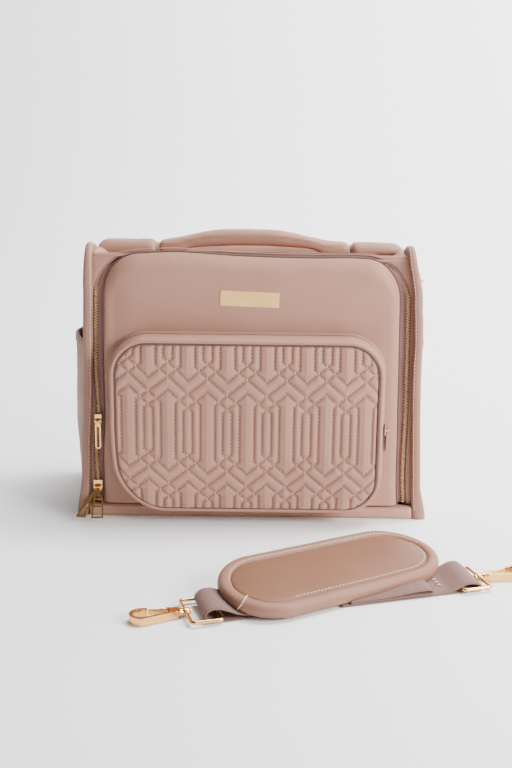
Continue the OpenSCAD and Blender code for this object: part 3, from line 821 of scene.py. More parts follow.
def make_pocket_zip():
    path = [Vector((x, FLAP_Y - 2.9, z)) for x, z, nx, nz in pocket_line(4.2, 0.0, 1.0)
            if (z > 100 and x > POCKET_X0 + 22) or (x > 0 and z > 62)]
    path.sort(key=lambda p: math.atan2(p.z - 100, p.x - POCKET_MID), reverse=True)
    teeth = Shape()
    points = resample(path, 1.15)
    for i, (a, b) in enumerate(zip(points, points[1:])):
        ahead = (b - a).normalized()
        across = ahead.cross(FORWARD)
        place = (a + b) / 2 + across * (0.45 if i % 2 else -0.45)
        tooth_block(teeth, place, across, ahead, FORWARD, (1.5, 0.8, 1.1))
    add_piece(teeth, "pocket_zip_chain", "tonal", "front_flap", "pocket_zip_teeth")


# ---------------------------------------------------------------- front flap
def arch_inset(x, z):
    """Distance in from the zip's arch."""
    if z > ARC_Z and abs(x) > ARC_X:
        return ZIP_RADIUS - math.hypot(abs(x) - ARC_X, z - ARC_Z)
    return min((zip_half(z) - abs(x)) * math.cos(ZIP_TILT), ZIP_TOP - z)


def flap_warp(x, z):
    """Place on the bag of a point of the flap's flat outline."""
    high = smooth((z - 195) / 66)
    px = x + zip_drift(x, z) * smooth((abs(x) - 95) / 50) * (0.5 if x < 0 else 1)
    px -= 1.4 * smooth((x - 100) / 45) * smooth((z - 60) / 60)
    return px, settle(x, z) + (FLAP_INSET + 0.4) * high


def flap_face(x, z):
    """Depth of the flap's leather: softly crowned, turned back at its edge."""
    d = arch_inset(x, z) - FLAP_INSET
    top = smooth((z - 215) / 40)
    reach = 9.0 + 9.0 * top
    roll = (3.4 + 5.2 * top) * (1 - min(1.0, max(0.0, d) / reach)) ** 2.3
    free = smooth((z - POCKET_Z1 - 8) / 30)
    edge = smooth((abs(x - POCKET_MID) - 138) / 10)
    crown = 1.5 * free * smooth(d / 40)
    ridge = 2.6 * math.exp(-((x - 131) / 7.5) ** 2) * smooth((z - 40) / 50) * (1 - 0.4 * free)
    hollow = 2.6 * math.exp(-((x + 138) / 11) ** 2) * smooth((z - 30) / 60) \
        * (1 - smooth((z - 225) / 30))
    wave = 0.55 * ripple(x, 0, z, 55, 7) + 0.2 * ripple(x, 0, z, 19, 9)
    return FLAP_Y + 0.3 + roll - crown - ridge * (0.25 + 0.75 * edge) * 0.8 + hollow + wave


def arch_rows(inset, step, turns=30):
    """Heights and half widths of the rows that fill the arch above the flap's fold."""
    r = ZIP_RADIUS - inset
    shoulder = ARC_Z + r * math.sin(ZIP_TILT)
    for z in even(FOLD_Z, shoulder, round((shoulder - FOLD_Z) / step))[:-1]:
        yield z, zip_half(z) - inset / math.cos(ZIP_TILT)
    for a in even(ZIP_TILT, math.pi / 2, turns):
        yield ARC_Z + r * math.sin(a), ARC_X + r * math.cos(a)


def make_flap():
    shape, pairs = Shape(), []
    for z, half in arch_rows(FLAP_INSET + 0.6, 2.0):
        row = []
        for x in even(-half, half, 150):
            (px, pz), y = flap_warp(x, z), flap_face(x, z)
            row.append(((px, y, pz), (px, max(FLAP_Y + 4.6, y + 1.8), pz)))
        pairs.append(row)
    shape.slab(pairs)
    add_piece(shape, "flap_leather", "rose", "front_flap", "front_panel")
    edge = []
    for x, z, nx, nz in arch_line(-FLAP_INSET, FOLD_Z, 3, loose=False):
        px, pz = flap_warp(x, z)
        edge.append((px, min(flap_face(x, z), FRAME_Y - 3.6), pz, nx, nz))
    cord = Shape()
    cord.sweep([(Vector((x + nx * 0.2, y + 0.7, z + nz * 0.2)), Vector((nx, 0, nz)), FORWARD)
                for x, y, z, nx, nz in edge], soft_section(2, 2, 8, 2))
    add_piece(cord, "flap_piping_cord", "dark_piping_and_groove_shade", "front_flap", "flap_piping")
    wall = Shape()
    rim = FRAME_Y - 0.3
    profile = ((0.1, 0), (0.5, 0.3), (0.7, 0.7), (0.6, 1), (-1.2, 1), (-1.3, 0.5), (-1.3, 0))
    wall.tube([[(x + nx * (out + 0.25 * ripple(x, t * 9, z, 22, 2)), y + 1.4 + (rim - y - 1.4) * t,
                 z + nz * out) for out, t in profile] for x, y, z, nx, nz in edge])
    add_piece(wall, "flap_gusset_band", "tape_leather", "front_flap", "flap_gusset")
    half, near, far = zip_half(FOLD_Z) - FLAP_INSET - 1.5, FLAP_Y + 3.4, FRAME_Y - 0.2

    def foot(t, u):
        x, y, z = half * u, near + (far - near) * t, FOLD_Z + 0.1
        return (x, y, z), (x, y, z + 1.8 + 0.2 * ripple(x, y, z, 20))

    add_piece(sheet(5, 40, foot), "flap_gusset_foot", "rose", "front_flap")
    inner, pairs = Shape(), []
    for z, half in arch_rows(FLAP_INSET + 2.6, 4.0, 16):
        row = []
        for x in even(-half, half, 70):
            y = FRAME_Y + 0.9 - 0.4 * ripple(x, 3, z, 30, 4) - 0.3 * ripple(x, 3, z, 11, 4)
            px, pz = flap_warp(x, z)[0], settle(x, z)
            row.append(((px, y - 0.9, pz), (px, y + 0.3, pz)))
        pairs.append(row)
    inner.slab(pairs)
    add_piece(inner, "flap_lining_cloth", "lining", "front_flap", "flap_lining")


def tape_band(name, off_in, off_out, low, body, node):
    """A zip tape: a thin woven band that follows the arch, slightly cupped."""
    shape, rows = Shape(), []
    profile = [(side, t) for side in (0, 1) for t in even(0, 1, 5)[::1 - 2 * side]]
    for x, z, nx, nz in arch_line(off_in, low, 4):
        row = []
        for side, t in profile:
            off = (off_out - off_in) * t
            y = FRAME_Y + 0.1 + 0.8 * side + 0.25 * ripple(x, off * 3, z, 16, 6) + 0.5 * math.sin(math.pi * t)
            row.append((x + nx * off, y, min(z + nz * off, TOP_Z - 7)))
        rows.append(row)
    shape.tube(rows)
    add_piece(shape, name, "tape", body, node)


def make_chain(name, side, body, node):
    """The main zip's teeth on one tape; side is +1 on the frame and -1 on the flap."""
    teeth, line = Shape(), []
    for x, z, nx, nz in arch_line(0.0, FOLD_Z + 0.5, 2.0):
        y = TEETH_Y + 0.9 + 3.0 * smooth((z - 225) / 25) + (1.4 * smooth((z - 140) / 60) if x < 0 else 0)
        line.append(Vector((x, y, z - 2.2 * smooth((z - 250) / 14))))
    spots = resample(line, TOOTH_PITCH / 2)
    for a, b in list(zip(spots, spots[1:]))[0 if side > 0 else 1::2]:
        ahead = (b - a).normalized()
        across = FORWARD.cross(ahead) * -side
        place = (a + b) / 2
        if across.dot(Vector((place.x, 0, place.z - 120))) * side < 0:
            across = -across
        tooth_block(teeth, place + across * 0.95, across, ahead, FORWARD, (2.6, 1.15, 2.0))
        tooth_block(teeth, place - across * 0.35 + FORWARD * 0.2, across, ahead, FORWARD, (1.1, 0.9, 1.9))
    add_piece(teeth, name, "chain", body, node)


def make_zip():
    tape_band("frame_tape_band", 0.6, 5.6, box_mm("frame_zip_tape")[0].z, "bag_body", "frame_zip_tape")
    tape_band("flap_tape_band", -0.5, -FLAP_INSET - 1.6, FOLD_Z, "front_flap", "flap_zip_tape")
    make_chain("frame_chain", 1, "bag_body", "frame_zip_teeth")
    make_chain("flap_chain", -1, "front_flap", "flap_zip_teeth")


# ---------------------------------------------------------------- shell of the bag
def ridge_sag(y):
    """The top of each side drops behind its front corner, as the soft wall folds in."""
    return 11.5 * smooth((y + 62) / 62) + 3.5 * smooth((y - 10) / 60)


def side_drift(x, z, y=FRONT_Y):
    """The left side stands straighter and the right side leans in at the top; less at the back."""
    if x > 0:
        drift = 2.3 * smooth((z - 120) / 90) - 5.2 * smooth((z - 225) / 52)
    else:
        drift = 2.2 * smooth((z - 140) / 100) + 1.2 * smooth((z - 235) / 30)
    return drift * (1 if y < 0 else 0.6)


def binding_path():
    """(y, z, outward y, outward z) from the front foot over the top to the back foot."""
    mid, r = BIND_DEPTH / 2, 16 - BIND_DEPTH / 2
    y, top = FRONT_Y + mid, TOP_Z - mid
    path = [(y, z, -1.0, 0.0) for z in even(0.3, top - r, 56)[:-1]]
    for a in even(math.pi, math.pi / 2, 12):
        path.append((y + r + r * math.cos(a), top - r + r * math.sin(a), math.cos(a), math.sin(a)))
    back = [(-p, z, -a, b) for p, z, a, b in path[::-1]]
    path += [(p, top, 0.0, 1.0) for p in even(y + r, -y - r, 24)[1:-1]] + back
    return [(p, z - ridge_sag(p) * smooth((z - 150) / 110), a, b) for p, z, a, b in path]


def make_binding(side, name):
    shape, stations = Shape(), []
    node = f"side_binding_{name}"
    for y, z, ny, nz in binding_path():
        flare = (5.0 if side > 0 else 3.2) * (1 - smooth(z / 40)) * (1 if ny < 0 else 0.6)
        wander = 0.7 * ripple(0, y, z, 34, 4 + side) + 0.3 * ripple(0, y, z, 13, side)
        slim = 1 - 0.2 * smooth((z - 235) / 40)
        x = half_in(z) + side_drift(side, z, y) + BIND_WIDTH / 2 * slim + flare * 0.5 + wander * 0.6
        wide = BIND_WIDTH * slim + flare + 0.6 * ripple(0, y, z, 24, 9 + side)
        creep = 0.5 * ripple(1, y, z, 28, 3 + side)
        centre = Vector((side * x, y - ny * 0.2 - creep * ny * 0.6, z + nz * creep * 0.4))
        stations.append((centre, Vector((side * wide / BIND_WIDTH, 0, 0)), Vector((0, ny, nz))))
    section = [(a, b + (0.5 * math.cos(a / BIND_WIDTH * math.pi) if b > 0 else 0))
               for a, b in soft_section(BIND_WIDTH, BIND_DEPTH - 0.4, 22, 2.7)]
    shape.sweep(stations, section)
    add_piece(shape, f"{node}_leather", "trim", "bag_body", node)
    sewn = stations[2:-2]
    run = [p - a * (BIND_WIDTH / 2 - 1.7) + b * (BIND_DEPTH / 2 - 0.15) for p, a, b in sewn]

    def normal(place):
        return sewn[min(range(len(run)), key=lambda i: (run[i] - place).length)][2]

    sew(f"{node}_stitches", "thread", "bag_body", (run, normal, 0.0))


def make_front_frame():
    """Flat leather between the zip and the bindings, widest at the two top corners."""
    shape, pairs = Shape(), []
    for x, z, nx, nz in arch_line(3.2, box_mm("front_frame")[0].z + 0.2, 4):
        reach = [30]
        if abs(nx) > 0.02:
            reach.append((half_in(z) + side_drift(x, z) + 1.2 - abs(x)) / abs(nx))
        if nz > 0.02:
            reach.append((SEAM_Z + 0.8 - z) / nz)
        far = max(0.6, min(reach))
        row = []
        for t in even(0, 1, 6):
            px, pz = x + nx * far * t, z + nz * far * t
            puff = 0.9 * math.sin(math.pi * t) * min(1.0, far / 12) + 0.3 * ripple(px, 0, pz, 18, 8)
            row.append(((px, FRAME_Y - 1.7 - puff, pz), (px, FRAME_Y - 0.1, pz)))
        pairs.append(row)
    shape.slab(pairs)
    add_piece(shape, "front_frame_leather", "rose", "bag_body", "front_frame")


def make_bottom_trim():
    low, high = box_mm("bottom_trim")
    middle, half = (low + high) / 2, (high - low) / 2
    shape, rows = Shape(), []
    section = [(middle.y + (half.y - 0.3) * c, middle.z + (half.z - 0.1) * s, 0.35 if c < 0 else 0)
               for c, s in superellipse(16, 0.55, 0.6)]
    for t in even(-1, 1, 90):
        ring = []
        for y, z, uneven in section:
            x = (half_in(z) - 0.4) * t
            ring.append((x, y - uneven * ripple(x, 0, z, 24, 2), max(0.15, z)))
        rows.append(ring)
    shape.tube(rows)
    add_piece(shape, "foot_trim_leather", "foot", "bag_body", "bottom_trim")
    reach = half_in(8) - 3
    run = [Vector((x, low.y + 0.15, high.z - 3.2)) for x in even(-reach, reach, 59)]
    sew("foot_trim_stitches", "thread", "bag_body", (run, Vector((0, -1, 0.15)), 0.15))


def make_top():
    """Top leather from the front seam over a soft crown to the back."""
    y0, y1 = FRAME_Y - 2.6, BACK_Y - 1.0

    def point(t, u):
        y = y0 + (y1 - y0) * t
        x = (half_in(266) + side_drift(u, 266, y) + 1.0) * u
        z = SEAM_Z + 0.6 + (settle(x, 268.5) - 268.5) * (1 - smooth((y + 62) / 50))
        z += smooth((y - y0) / 5) - 1 + smooth((y - y0) / 4.5)
        dish = smooth((y + 70) / 20) * (1 - smooth((y - 13) / 12)) * smooth((1 - abs(u)) / 0.09)
        dish += 0.85 * (1 - smooth((abs(x) - 66) / 16)) * smooth((y + 40) / 20) * (1 - smooth((y - 13) / 7))
        z -= 7.5 * dish + 8.0 * smooth((y - 32) / 42)
        z += 0.55 * ripple(x, y, 0, 24, 5) + 0.25 * ripple(x, y, 0, 9, 2)
        return (x, y, z - 2.2), (x, y, z)

    add_piece(sheet(36, 80, point), "top_leather", "rose", "bag_body", "top_panel")


def side_face(side, y, z):
    """Outer face of a side wall, before its pocket: a soft panel between the bindings."""
    hollow = 2.5 * math.cos(math.pi * y / 130) * smooth((z - 150) / 110)
    return half_in(z) + side_drift(side, z, y) + BIND_WIDTH - 3.4 - hollow + 0.7 * ripple(side, y, z, 38, 6)


def make_side(side, name):
    top = SIDE_HIGH.z - 1.0

    def point(t, u):
        z = 0.3 + (top - 0.3) * t
        cut = 6 * (1 - math.sqrt(max(0, 1 - max(0, (z - top + 6) / 6) ** 2)))
        y = (63.4 - cut) * u
        z -= ridge_sag(y) * smooth((z - 150) / 110) * 0.95
        x = side_face(side, y, z)
        return (side * x, y, z), (side * (x - 2.2), y, z)

    add_piece(sheet(54, 32, point), f"side_leather_{name}", "rose", "bag_body", f"side_panel_{name}")


def make_back():
    top = 259.0

    def point(t, u):
        z = 0.4 + (top - 0.4) * t
        x = (half_in(z) + side_drift(u, z, BACK_Y) + 0.8) * u
        y = BACK_Y - 0.6 + 1.4 * math.cos(math.pi * u / 2) * math.sin(math.pi * z / 262) \
            + 0.5 * ripple(x, 8, z, 48, 2) - 1.6 * smooth((z - top + 9) / 9)
        return (x, y, z), (x, y - 2.3, z)

    add_piece(sheet(49, 60, point), "back_leather", "rose", "bag_body", "back_panel")


def make_base():
    low, high = box_mm("base_panel")

    def point(t, u):
        x, y = (SIDE_HIGH.x - 3.0) * u, low.y + 2.4 + (high.y - low.y - 2.6) * t
        rise = 0.5 * (1 - min(1.0, 10 * min(t, 1 - t)))
        return (x, y, 0.15 + rise + 0.25 * abs(ripple(x, y, 0, 40, 1))), (x, y, 2.8)

    add_piece(sheet(30, 60, point), "base_leather", "trim", "bag_body", "base_panel")


def pouch_depth(reach, y, z, top):
    """How far a side pocket's wall stands off the side; fullest at mid height."""
    half = 55.5
    fall = max(0.0, 1 - (y / half) ** 2)
    belly = 0.6 + 0.4 * smooth(z / 90) - 0.1 * smooth((z - top + 65) / 60)
    return (reach - half_out(z) + 3) * fall ** 0.8 * belly


def make_side_pocket(side, name, reach):
    """A gathered pouch with an elastic hem; it stays close to the wall at its foot."""
    top = 179.0

    def point(t, u):
        z, y = 3.2 + (top - 3.2) * t, 56.0 * u
        fall = max(0.0, 1 - u ** 2)
        gather = math.sin(y * 0.62 + 0.9 * math.sin(y * 0.11)) + 0.6 * math.sin(y * 0.97 + 1.3)
        depth = pouch_depth(reach, y, z, top) + gather * fall * smooth((t - 0.62) / 0.36) * 0.75 \
            + 1.1 * fall * ripple(side, y, z, 26, 3) + 0.4 * fall * ripple(side, y, z, 10, 8)
        wall = side_face(side, y, z)
        x = wall + 0.5 + max(0.0, depth)
        z -= 2.5 * (1 - fall) * smooth((t - 0.9) / 0.1)
        return (side * (x + 1.5), y, z), (side * max(x, wall + 0.3), y, z)

    add_piece(sheet(55, 80, point), f"side_pouch_{name}", "rose", "bag_body", f"side_pocket_{name}")
    rim = rim_line(point, 80, 1.0)
    hem = Shape()
    hem.sweep(stations_along(rim, UP),
              [(a * (1.0 if b < 0 else 0.9), b) for a, b in soft_section(3.6, 9.0, 14, 2.4)])
    add_piece(hem, f"side_pouch_hem_{name}", "trim", "bag_body")
    run = [p + Vector((side * 1.9, 0, -2.6)) for p in rim[2:-2]]
    sew(f"side_pouch_stitches_{name}", "tonal_thread", "bag_body", (run, Vector((side, 0, 0)), 0.0))


def make_sleeve():
    """The luggage sleeve: a flat band sewn down at both ends of the back."""
    low, high = box_mm("trolley_sleeve")

    def point(t, u):
        z, x = low.z + 0.5 + (high.z - low.z - 1.0) * t, (high.x - 0.5) * u
        flat = smooth((1 - abs(u)) / 0.10)
        y = BACK_Y + 1.0 + flat * (4.8 - 0.8 * math.sin(math.pi * t) + 0.7 * ripple(x, 9, z, 40, 2))
        return (x, y + 1.3, z), (x, y, z)

    add_piece(sheet(40, 90, point), "luggage_sleeve", "rose", "bag_body", "trolley_sleeve")
    rows = []
    for x in (-high.x + 3.0, high.x - 3.0, -high.x + 7.0, high.x - 7.0):
        y = BACK_Y + 2.6 + 4.8 * smooth((1 - abs(x) / high.x) / 0.10)
        rows.append(([Vector((x, y, z)) for z in even(low.z + 3, high.z - 3, 29)], -FORWARD, 0.1))
    sew("luggage_sleeve_stitches", "thread", "bag_body", *rows)


def make_linings():
    """The cloth lining, a soft box inside the shell, and a gathered slip pocket at its back."""
    y0, y1 = FRAME_Y + 3.4, BACK_Y - 3.4

    def ring(z, shrink):
        half = half_in(z) - 2.0 - shrink
        points = []
        for (ax, ay), (bx, by) in (((-half, y0), (-half, y1)), ((-half, y1), (half, y1)),
                                   ((half, y1), (half, y0))):
            n = 22 if ax == bx else 44
            for i in range(n):
                x, y = ax + (bx - ax) * i / n, ay + (by - ay) * i / n
                sag = 0.8 * ripple(x, y, z, 26, 3) + 0.4 * ripple(x, y, z, 9, 3)
                points.append((x + sag, y, z) if ax == bx else (x, y + sag - 0.8 - shrink, z))
        return points + [(half, y0, z)]

    shape = Shape()
    shape.slab([list(zip(ring(z, 0.0), ring(z, 1.1))) for z in even(6.0, 258.0, 44)])
    add_piece(shape, "lining_cloth", "lining", "bag_body", "lining")

    def floor(t, u):
        x, y = 162 * u, y0 + (y1 - y0) * t
        z = 5.7 + 0.2 * ripple(x, y, 0, 30, 2)
        return (x, y, z), (x, y, z + 0.9)

    add_piece(sheet(19, 49, floor), "lining_floor", "lining", "bag_body")
    low, high = box_mm("inner_pocket")

    def pouch(t, u):
        x, z = high.x * u, low.z + (high.z - low.z) * t
        full = smooth((1 - abs(u)) / 0.16) * smooth((z - low.z + 6) / 26)
        pleat = 1.3 * math.sin(x * 0.33) * smooth((z - low.z - 70) / 40)
        y = high.y - 1.6 + full * (low.y + 3.0 - high.y + pleat + 1.2 * ripple(x, 0, z, 30, 8))
        return (x, y, z), (x, min(y + 1.0, high.y - 0.2), z)

    add_piece(sheet(30, 80, pouch), "inner_slip_pocket", "lining", "bag_body", "inner_pocket")
    hem = Shape()
    hem.sweep(stations_along(rim_line(pouch, 80, 1.5), UP), soft_section(2.6, 7.0, 12, 2.4))
    add_piece(hem, "inner_slip_pocket_hem", "lining", "bag_body")


# ---------------------------------------------------------------- handle
def grip_top(x):
    return GRIP_HIGH.z - 11.6 * smooth((abs(x + 6) - 20) / 76)


def grip_foot(x):
    arch = 3.4 * math.cos(math.pi * min(1.0, abs(x + 2) / 80) / 2) ** 1.3
    return 269.2 + arch - 6.0 * smooth((abs(x + 2) - 60) / 18)


def wrinkle(piece, shift):
    """Moves every point of a piece by shift(x, y, z), all in millimetres."""
    for vertex in piece.data.vertices:
        p = vertex.co / MM
        vertex.co += Vector(shift(p.x, p.y, p.z)) * MM


def cushion(name, x0, x1, size, body, node, pinned, shift):
    """A long cushion from x0 to x1; size(x) gives (half width, foot, top, squareness)."""
    shape, rows = Shape(), []
    for x in even(x0, x1, 70):
        half, foot, top, power = size(x)
        rows.append([(x, half * a, (foot + top) / 2 + (top - foot) / 2 * b)
                     for a, b in superellipse(40, 2 / power)])
    shape.tube(rows)
    made = add_piece(shape, name, "grip", body)
    puff_up(made, pinned)
    wrinkle(made, shift)
    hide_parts(node)


def make_handle():
    half_grip = GRIP_HIGH.x - 0.6

    def grip_size(x):
        near = smooth((half_grip - abs(x)) / 4.0)
        half = 10.0 + 4.0 * near + 0.4 * ripple(x, 0, 0, 20, 2)
        foot, top = grip_foot(x), grip_top(x) - 0.6
        return half, foot + (1 - near) * 1.2, top - (1 - near) * 4.5, 2.4 + 0.4 * near

    def grip_pinned(x, y, z):
        ends = smooth((abs(x) - half_grip + 9) / 6)
        return max(ends, 0.6 * smooth((grip_foot(x) + 2.2 - z) / 1.5))

    def grip_wrinkle(x, y, z):
        near = smooth((half_grip - abs(x)) / 26)
        crease = (1 - near) * 0.55 * math.sin(z * 1.9 + 0.8 * math.sin(x * 0.2))
        fold = 0.55 * ripple(x / 3, y, z, 5, 2) + 0.4 * ripple(x, y * 3, z * 3, 26, 7)
        seam = -0.9 * math.exp(-((z - (grip_foot(x) * 0.42 + grip_top(x) * 0.58)) / 0.8) ** 2)
        return 0, math.copysign(1, y) * (crease + fold * 0.5 + seam * near), fold * 0.3

    cushion("handle_grip_leather", -half_grip, half_grip, grip_size, "handle", "handle_grip",
            grip_pinned, grip_wrinkle)
    for side, name in SIDES:
        end = half_in(275) + side_drift(side, 275) + 3.0

        def pad_size(x):
            x = abs(x)
            near = smooth((x - half_grip - 0.9) / 4.0)
            far = smooth((end - x) / 9)
            top = TOP_FACE + 5.2 + 4.4 * near - 3.0 * (1 - far)
            if side > 0:
                top -= 0.6 + 1.4 * smooth((x - 125) / 30)
            return 10.5 + 5.6 * near, TOP_FACE - 8.0, top, 2.4

        def pad_pinned(x, y, z):
            ends = max(smooth((half_grip + 8 - abs(x)) / 5), smooth((abs(x) - end + 8) / 5))
            return max(ends, smooth((TOP_FACE - 4 - z) / 2))

        def pad_wrinkle(x, y, z):
            return 0, 0, 0.5 * ripple(x, y, z, 15, 5) + 0.4 * ripple(x, y * 2, z, 6, 1)

        cushion(f"handle_pad_{name}_leather", side * (half_grip + 0.9), side * end, pad_size, "bag_body",
                f"handle_pad_{name}", pad_pinned, pad_wrinkle)


def make_tab(side, name):
    """The leather loop that holds a D ring to its side."""
    node = f"ring_tab_{name}"
    low, high = box_mm(node)
    bar_x, bar_z = max(abs(low.x), abs(high.x)) - 3.2, low.z + 3.2
    turns = [math.radians(a) for a in even(150, -150, 16)[3:]]
    stem = [(bar_x - 3.4, high.z - 0.3), (bar_x - 3.0, high.z - 8), (bar_x - 2.4, bar_z + 5)]
    profile = [(x + 0.9, z) for x, z in stem] \
        + [(bar_x + 3.1 * math.cos(a), bar_z + 3.1 * math.sin(a)) for a in turns] \
        + [(bar_x - 4.0, bar_z + 3)] + [(x - 0.4, z) for x, z in stem[::-1]]
    shape = Shape()
    shape.tube([[(side * x, y, z) for x, z in profile] for y in even(-9.6, 9.6, 12)])
    add_piece(shape, f"{node}_leather", "trim", "bag_body", node)


# ---------------------------------------------------------------- shoulder pad
PAD_LONG, PAD_WIDE = 216.0, 88.0
PAD_TILT = math.radians(9)
PAD_TURN = math.radians(30)
PAD_SPOT = Vector((72.0, -243.0, 0.4))
PAD_FRAME = Matrix.Translation(PAD_SPOT) @ Matrix.Rotation(PAD_TURN, 4, "Z") \
    @ Matrix.Translation((0, -PAD_WIDE / 2 * math.cos(PAD_TILT), 0)) \
    @ Matrix.Rotation(PAD_TILT, 4, "X") @ Matrix.Translation((0, PAD_WIDE / 2, 0))


def pad_ring(inset):
    """(u, v, outward u, outward v) round the pad's outline, moved in by inset."""
    straight, reach = (PAD_LONG - PAD_WIDE) / 2, max(0.02, PAD_WIDE / 2 - inset)
    line = []
    for s in (1, -1):
        for a in even(math.pi / 2, -math.pi / 2, 44):
            line.append((s * straight, s * math.cos(a), s * math.sin(a)))
        line += [(u, 0.0, -s) for u in even(s * straight, -s * straight, 36)[1:-1]]
    return [(u + nu * reach, nv * reach * (1 - 0.0002 * (u + nu * reach)), nu, nv) for u, nu, nv in line]


def pad_place(u, v, w):
    """A point of the pad in millimetres: its ends droop and its right end rests on the strap."""
    droop = 1.2 * smooth((abs(u) - 55) / 50) * smooth((v + 40) / 60)
    lift = 1.2 * smooth((u - 15) / 70) * (1 - smooth((v + 30) / 60))
    return PAD_FRAME @ Vector((u, v, w - droop + lift))


def pad_loft(name, profile, material, replaced, closed=False, wobble=0.2):
    """A padded piece through rings round the pad, each (inset, height)."""
    shape = Shape()
    shape.tube([[pad_place(u, v, w + wobble * ripple(u, v, w, 24, 4)) for u, v, nu, nv in pad_ring(inset)]
                for inset, w in profile], closed)
    add_piece(shape, name, material, "shoulder_strap", replaced)


def pad_seam(inset, height, turning, chosen):
    """Points along the border, in order: by the border's direction, then along the straight."""
    rim = [(turning * round(math.atan2(nv, nu), 3), u, v)
           for u, v, nu, nv in pad_ring(inset) if chosen(u, nv)]
    return [pad_place(u, v, height) for turn, u, v in sorted(rim)]


def make_pad():
    roll = [(6.3 - 6.1 * c, max(0.5, 6.7 + 6.3 * s - (1.0 if c < -0.85 else 0)))
            for c, s in superellipse(28, 0.86)]
    pad_loft("pad_border_roll", roll, "pad_roll", "pad_border", True, 0.3)
    core = PAD_WIDE / 2 - 1.5
    top = [(core, 9.0), (13.0, 9.0), (11.2, 10.1), (11.4, 10.9), (12.6, 11.6), (15, 12.1), (20, 12.7),
           (28, 13.2), (36, 13.4), (core, 13.5)]
    pad_loft("pad_top_face", top, "tan", "pad_top")
    under = [(core, 0.9), (28, 0.9), (16, 0.8), (9, 1.0), (6.2, 2.2), (6.2, 7.0), (12, 8.6), (core, 8.6)]
    pad_loft("pad_underside", under, "rose", "shoulder_pad")
    up = (PAD_FRAME.to_3x3() @ UP).normalized()
    far = pad_seam(9.3, 12.25, -1, lambda u, nv: nv > 0.12 and u > -104)
    near = pad_seam(14.0, 11.75, 1, lambda u, nv: nv < 0.35 and u > -60)
    sew("pad_stitches", "thread", "shoulder_strap", (far, up, 0.25), (near, up, 0.2))
    points = []
    for t in even(0, 1, 14):
        a = math.radians(205 + 4 * math.sin(math.pi * t))
        reach = PAD_WIDE / 2 - 12 + 12.6 * math.sin(math.pi * t / 2)
        w = 11.6 + 2.4 * math.sin(math.pi * min(1, t * 1.3)) - 7.0 * t ** 3
        points.append(pad_place((PAD_WIDE - PAD_LONG) / 2 + reach * math.cos(a), reach * math.sin(a), w))
    loop = Shape()
    loop.sweep(stations_along(points, up), soft_section(1.5, 0.9, 8, 2.2))
    add_piece(loop, "pad_thread_loop", "thread", "shoulder_strap")


# ---------------------------------------------------------------- webbing
WEB_WIDE, WEB_THICK = 38.0, 1.3
STRAP_TURN = math.radians(17)
ALONG = Vector((math.cos(STRAP_TURN), math.sin(STRAP_TURN), 0))
ACROSS = Vector((-math.sin(STRAP_TURN), math.cos(STRAP_TURN), 0))
SWIVEL_TO_BAR = 26
LEFT_SWIVEL, RIGHT_SWIVEL = Vector((-51.5, -309, 4.3)), Vector((205, -231, 4.3))
LEFT_BAR = LEFT_SWIVEL + ALONG * SWIVEL_TO_BAR
RIGHT_BAR = RIGHT_SWIVEL - ALONG * SWIVEL_TO_BAR


def ribbon(shape, fine, side, places, turns):
    """A strap of webbing along a line. side is its widthwise direction, and turns is its twist
    in degrees at places, which are shares of its length. Returns the length."""
    stations = []
    for i, p in enumerate(fine):
        ahead = (fine[min(i + 1, len(fine) - 1)] - fine[max(i - 1, 0)]).normalized()
        roll = math.radians(float(np.interp(i / (len(fine) - 1), places, turns)))
        across = side * math.cos(roll) + UP * math.sin(roll)
        stations.append((p, across, ahead.cross(across).normalized()))
    half = WEB_WIDE / 2
    section = [(a, -WEB_THICK / 2 * (0.75 if abs(a) > half - 0.1 else 1)) for a in even(-half, half, 9)]
    shape.sweep(stations, section + [(a, -b) for a, b in section[::-1]])
    return path_length(fine)


def smooth_path(points, step):
    """A Catmull-Rom curve through the points, at an even step."""
    full = [points[0] * 2 - points[1]] + list(points) + [points[-1] * 2 - points[-2]]
    dense = []
    for a, b, c, d in zip(full, full[1:], full[2:], full[3:]):
        for i in range(12):
            t = i / 12
            dense.append(0.5 * ((2 * b) + (c - a) * t + (2 * a - 5 * b + 4 * c - d) * t * t
                                + (3 * b - a - 3 * c + d) * t * t * t))
    dense.append(points[-1])
    return resample(dense, step)


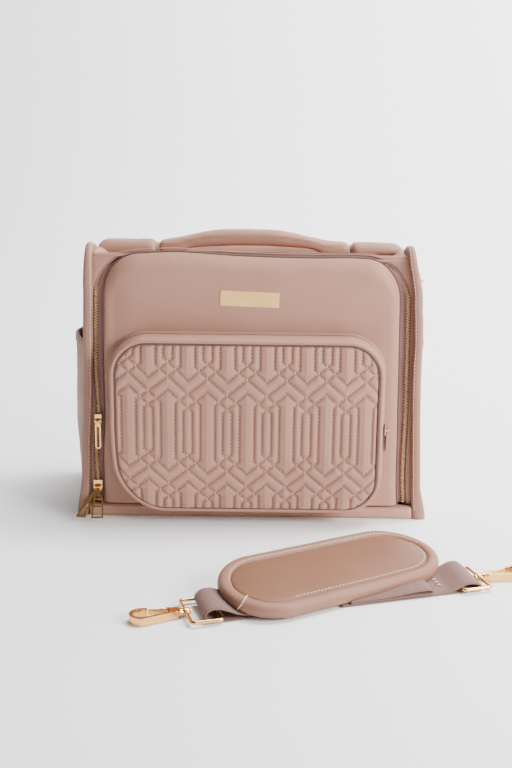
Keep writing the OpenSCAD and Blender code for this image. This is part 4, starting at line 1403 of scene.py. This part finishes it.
def make_webbing():
    shape, length = Shape(), 0.0

    def run(bar, *points):
        return [Vector((bar.x, bar.y, z)) + ALONG * forward for forward, z in points]

    left = run(LEFT_BAR, (36, 4.5), (24, 5.2), (14, 7.2), (6, 10.4), (-2, 13.0), (-8.5, 12.8), (-12.8, 10.0),
               (-14, 6.4), (-11.5, 3.0), (-6, 1.2), (4, 0.95), (18, 0.9), (36, 0.9))
    right = run(RIGHT_BAR, (-112, 2.4), (-60, 2.4), (-30, 3.0), (-13, 4.2), (-4, 7.4), (3, 10.2), (10, 10.6),
                (16, 8.4), (19.4, 5.0), (17, 1.9), (10, 1.0), (-12, 0.9), (-60, 0.9), (-112, 0.9))
    fold = run(RIGHT_BAR, (-104, 3.8), (-75, 4.1), (-45, 4.6), (-33, 4.6), (-27.6, 6.2), (-31, 8.2),
               (-42, 8.3), (-60, 6.9), (-80, 5.6), (-104, 5.2))
    for path, rolls in ((left, ((0, 6), (0.35, 4), (0.6, 0), (1, 0))),
                        (right, ((0, 3), (0.3, 5), (0.4, 8), (0.46, 10), (0.5, 5), (0.525, 0), (1, 0))),
                        (fold, ((0, 4), (0.5, 6), (1, 4)))):
        length += ribbon(shape, smooth_path(path, 2.0), ACROSS, *zip(*rolls))
    spread = Vector((math.cos(PAD_TURN), math.sin(PAD_TURN), 0))
    cross = UP.cross(spread)
    centre = Vector((PAD_SPOT.x, PAD_SPOT.y, 0)) + cross * 21
    folds = []
    for k in range(5):
        way = 1 if k % 2 == 0 else -1
        folds += [centre + spread * (way * t) + UP * (0.9 + 1.5 * k) for t in (-50, -20, 20, 50)]
        if k < 4:
            folds.append(centre + spread * (way * 56) + UP * (1.65 + 1.5 * k))
    fine = smooth_path(folds, 2.5)
    stations = []
    for i, p in enumerate(fine):
        ahead = fine[min(i + 1, len(fine) - 1)] - fine[max(i - 1, 0)]
        stations.append((p, cross, ahead.normalized().cross(cross).normalized()))
    half = WEB_WIDE / 2
    stack = Shape()
    stack.sweep(stations, [(-half, -0.5), (0, -0.6), (half, -0.5), (half, 0.5), (0, 0.6), (-half, 0.5)])
    spare = add_piece(stack, "strap_spare_folds", "webbing", "shoulder_strap")
    path_length(fine) * MM
    made = add_piece(shape, "strap_ribbon", "webbing", "shoulder_strap", "strap_webbing")
    tacks = Shape()
    for offset in (-6, -1, 4, 9):
        base = run(RIGHT_BAR, (-16.5, 4.8 + 0.08 * offset))[0] + ACROSS * offset
        add_stitches(tacks, [base - ALONG * 2.5, base + ALONG * 2.5], UP, 0.1, 5, 4.2, 0.6)
    add_piece(tacks, "strap_bartack", "thread", "shoulder_strap")


# ---------------------------------------------------------------- build
make_camera()
make_stage()
make_lights()
make_pocket_panel()
make_pocket_shell()
make_pocket_zip()
make_flap()
make_zip()
make_front_frame()
make_bottom_trim()
make_top()
make_back()
make_base()
for (side, name), reach in zip(SIDES, (185.5, 176.5)):
    make_binding(side, name)
    make_side(side, name)
    make_side_pocket(side, name, reach)
    make_tab(side, name)
make_sleeve()
make_linings()
make_handle()
make_pad()
make_webbing()

METALS = ("zip_slider_upper", "zip_pull_upper", "zip_slider_lower", "zip_pull_lower", "zip_tag_lower",
          "d_ring_left", "d_ring_right", "name_plate", "strap_adjuster", "loop_ring_left",
          "loop_ring_right", "snap_hook_left", "snap_hook_right", "hook_gate_left", "hook_gate_right")
KEPT = {name: "gold" for name in METALS}
KEPT.update(name_plate="plate", pocket_slider="tonal", pocket_pull="tonal", base_board="board")
for name, material in KEPT.items():
    node = NODES[name]
    node.data.materials.clear()
    node.data.materials.append(MATERIALS[material])
    weld = node.modifiers.new("weld", "WELD")
    weld.merge_threshold = 0.00002
    bevel = node.modifiers.new("bevel", "BEVEL")
    bevel.width, bevel.segments = 0.00022, 2
    bevel.limit_method, bevel.angle_limit = "ANGLE", math.radians(40)
    bevel.harden_normals = True
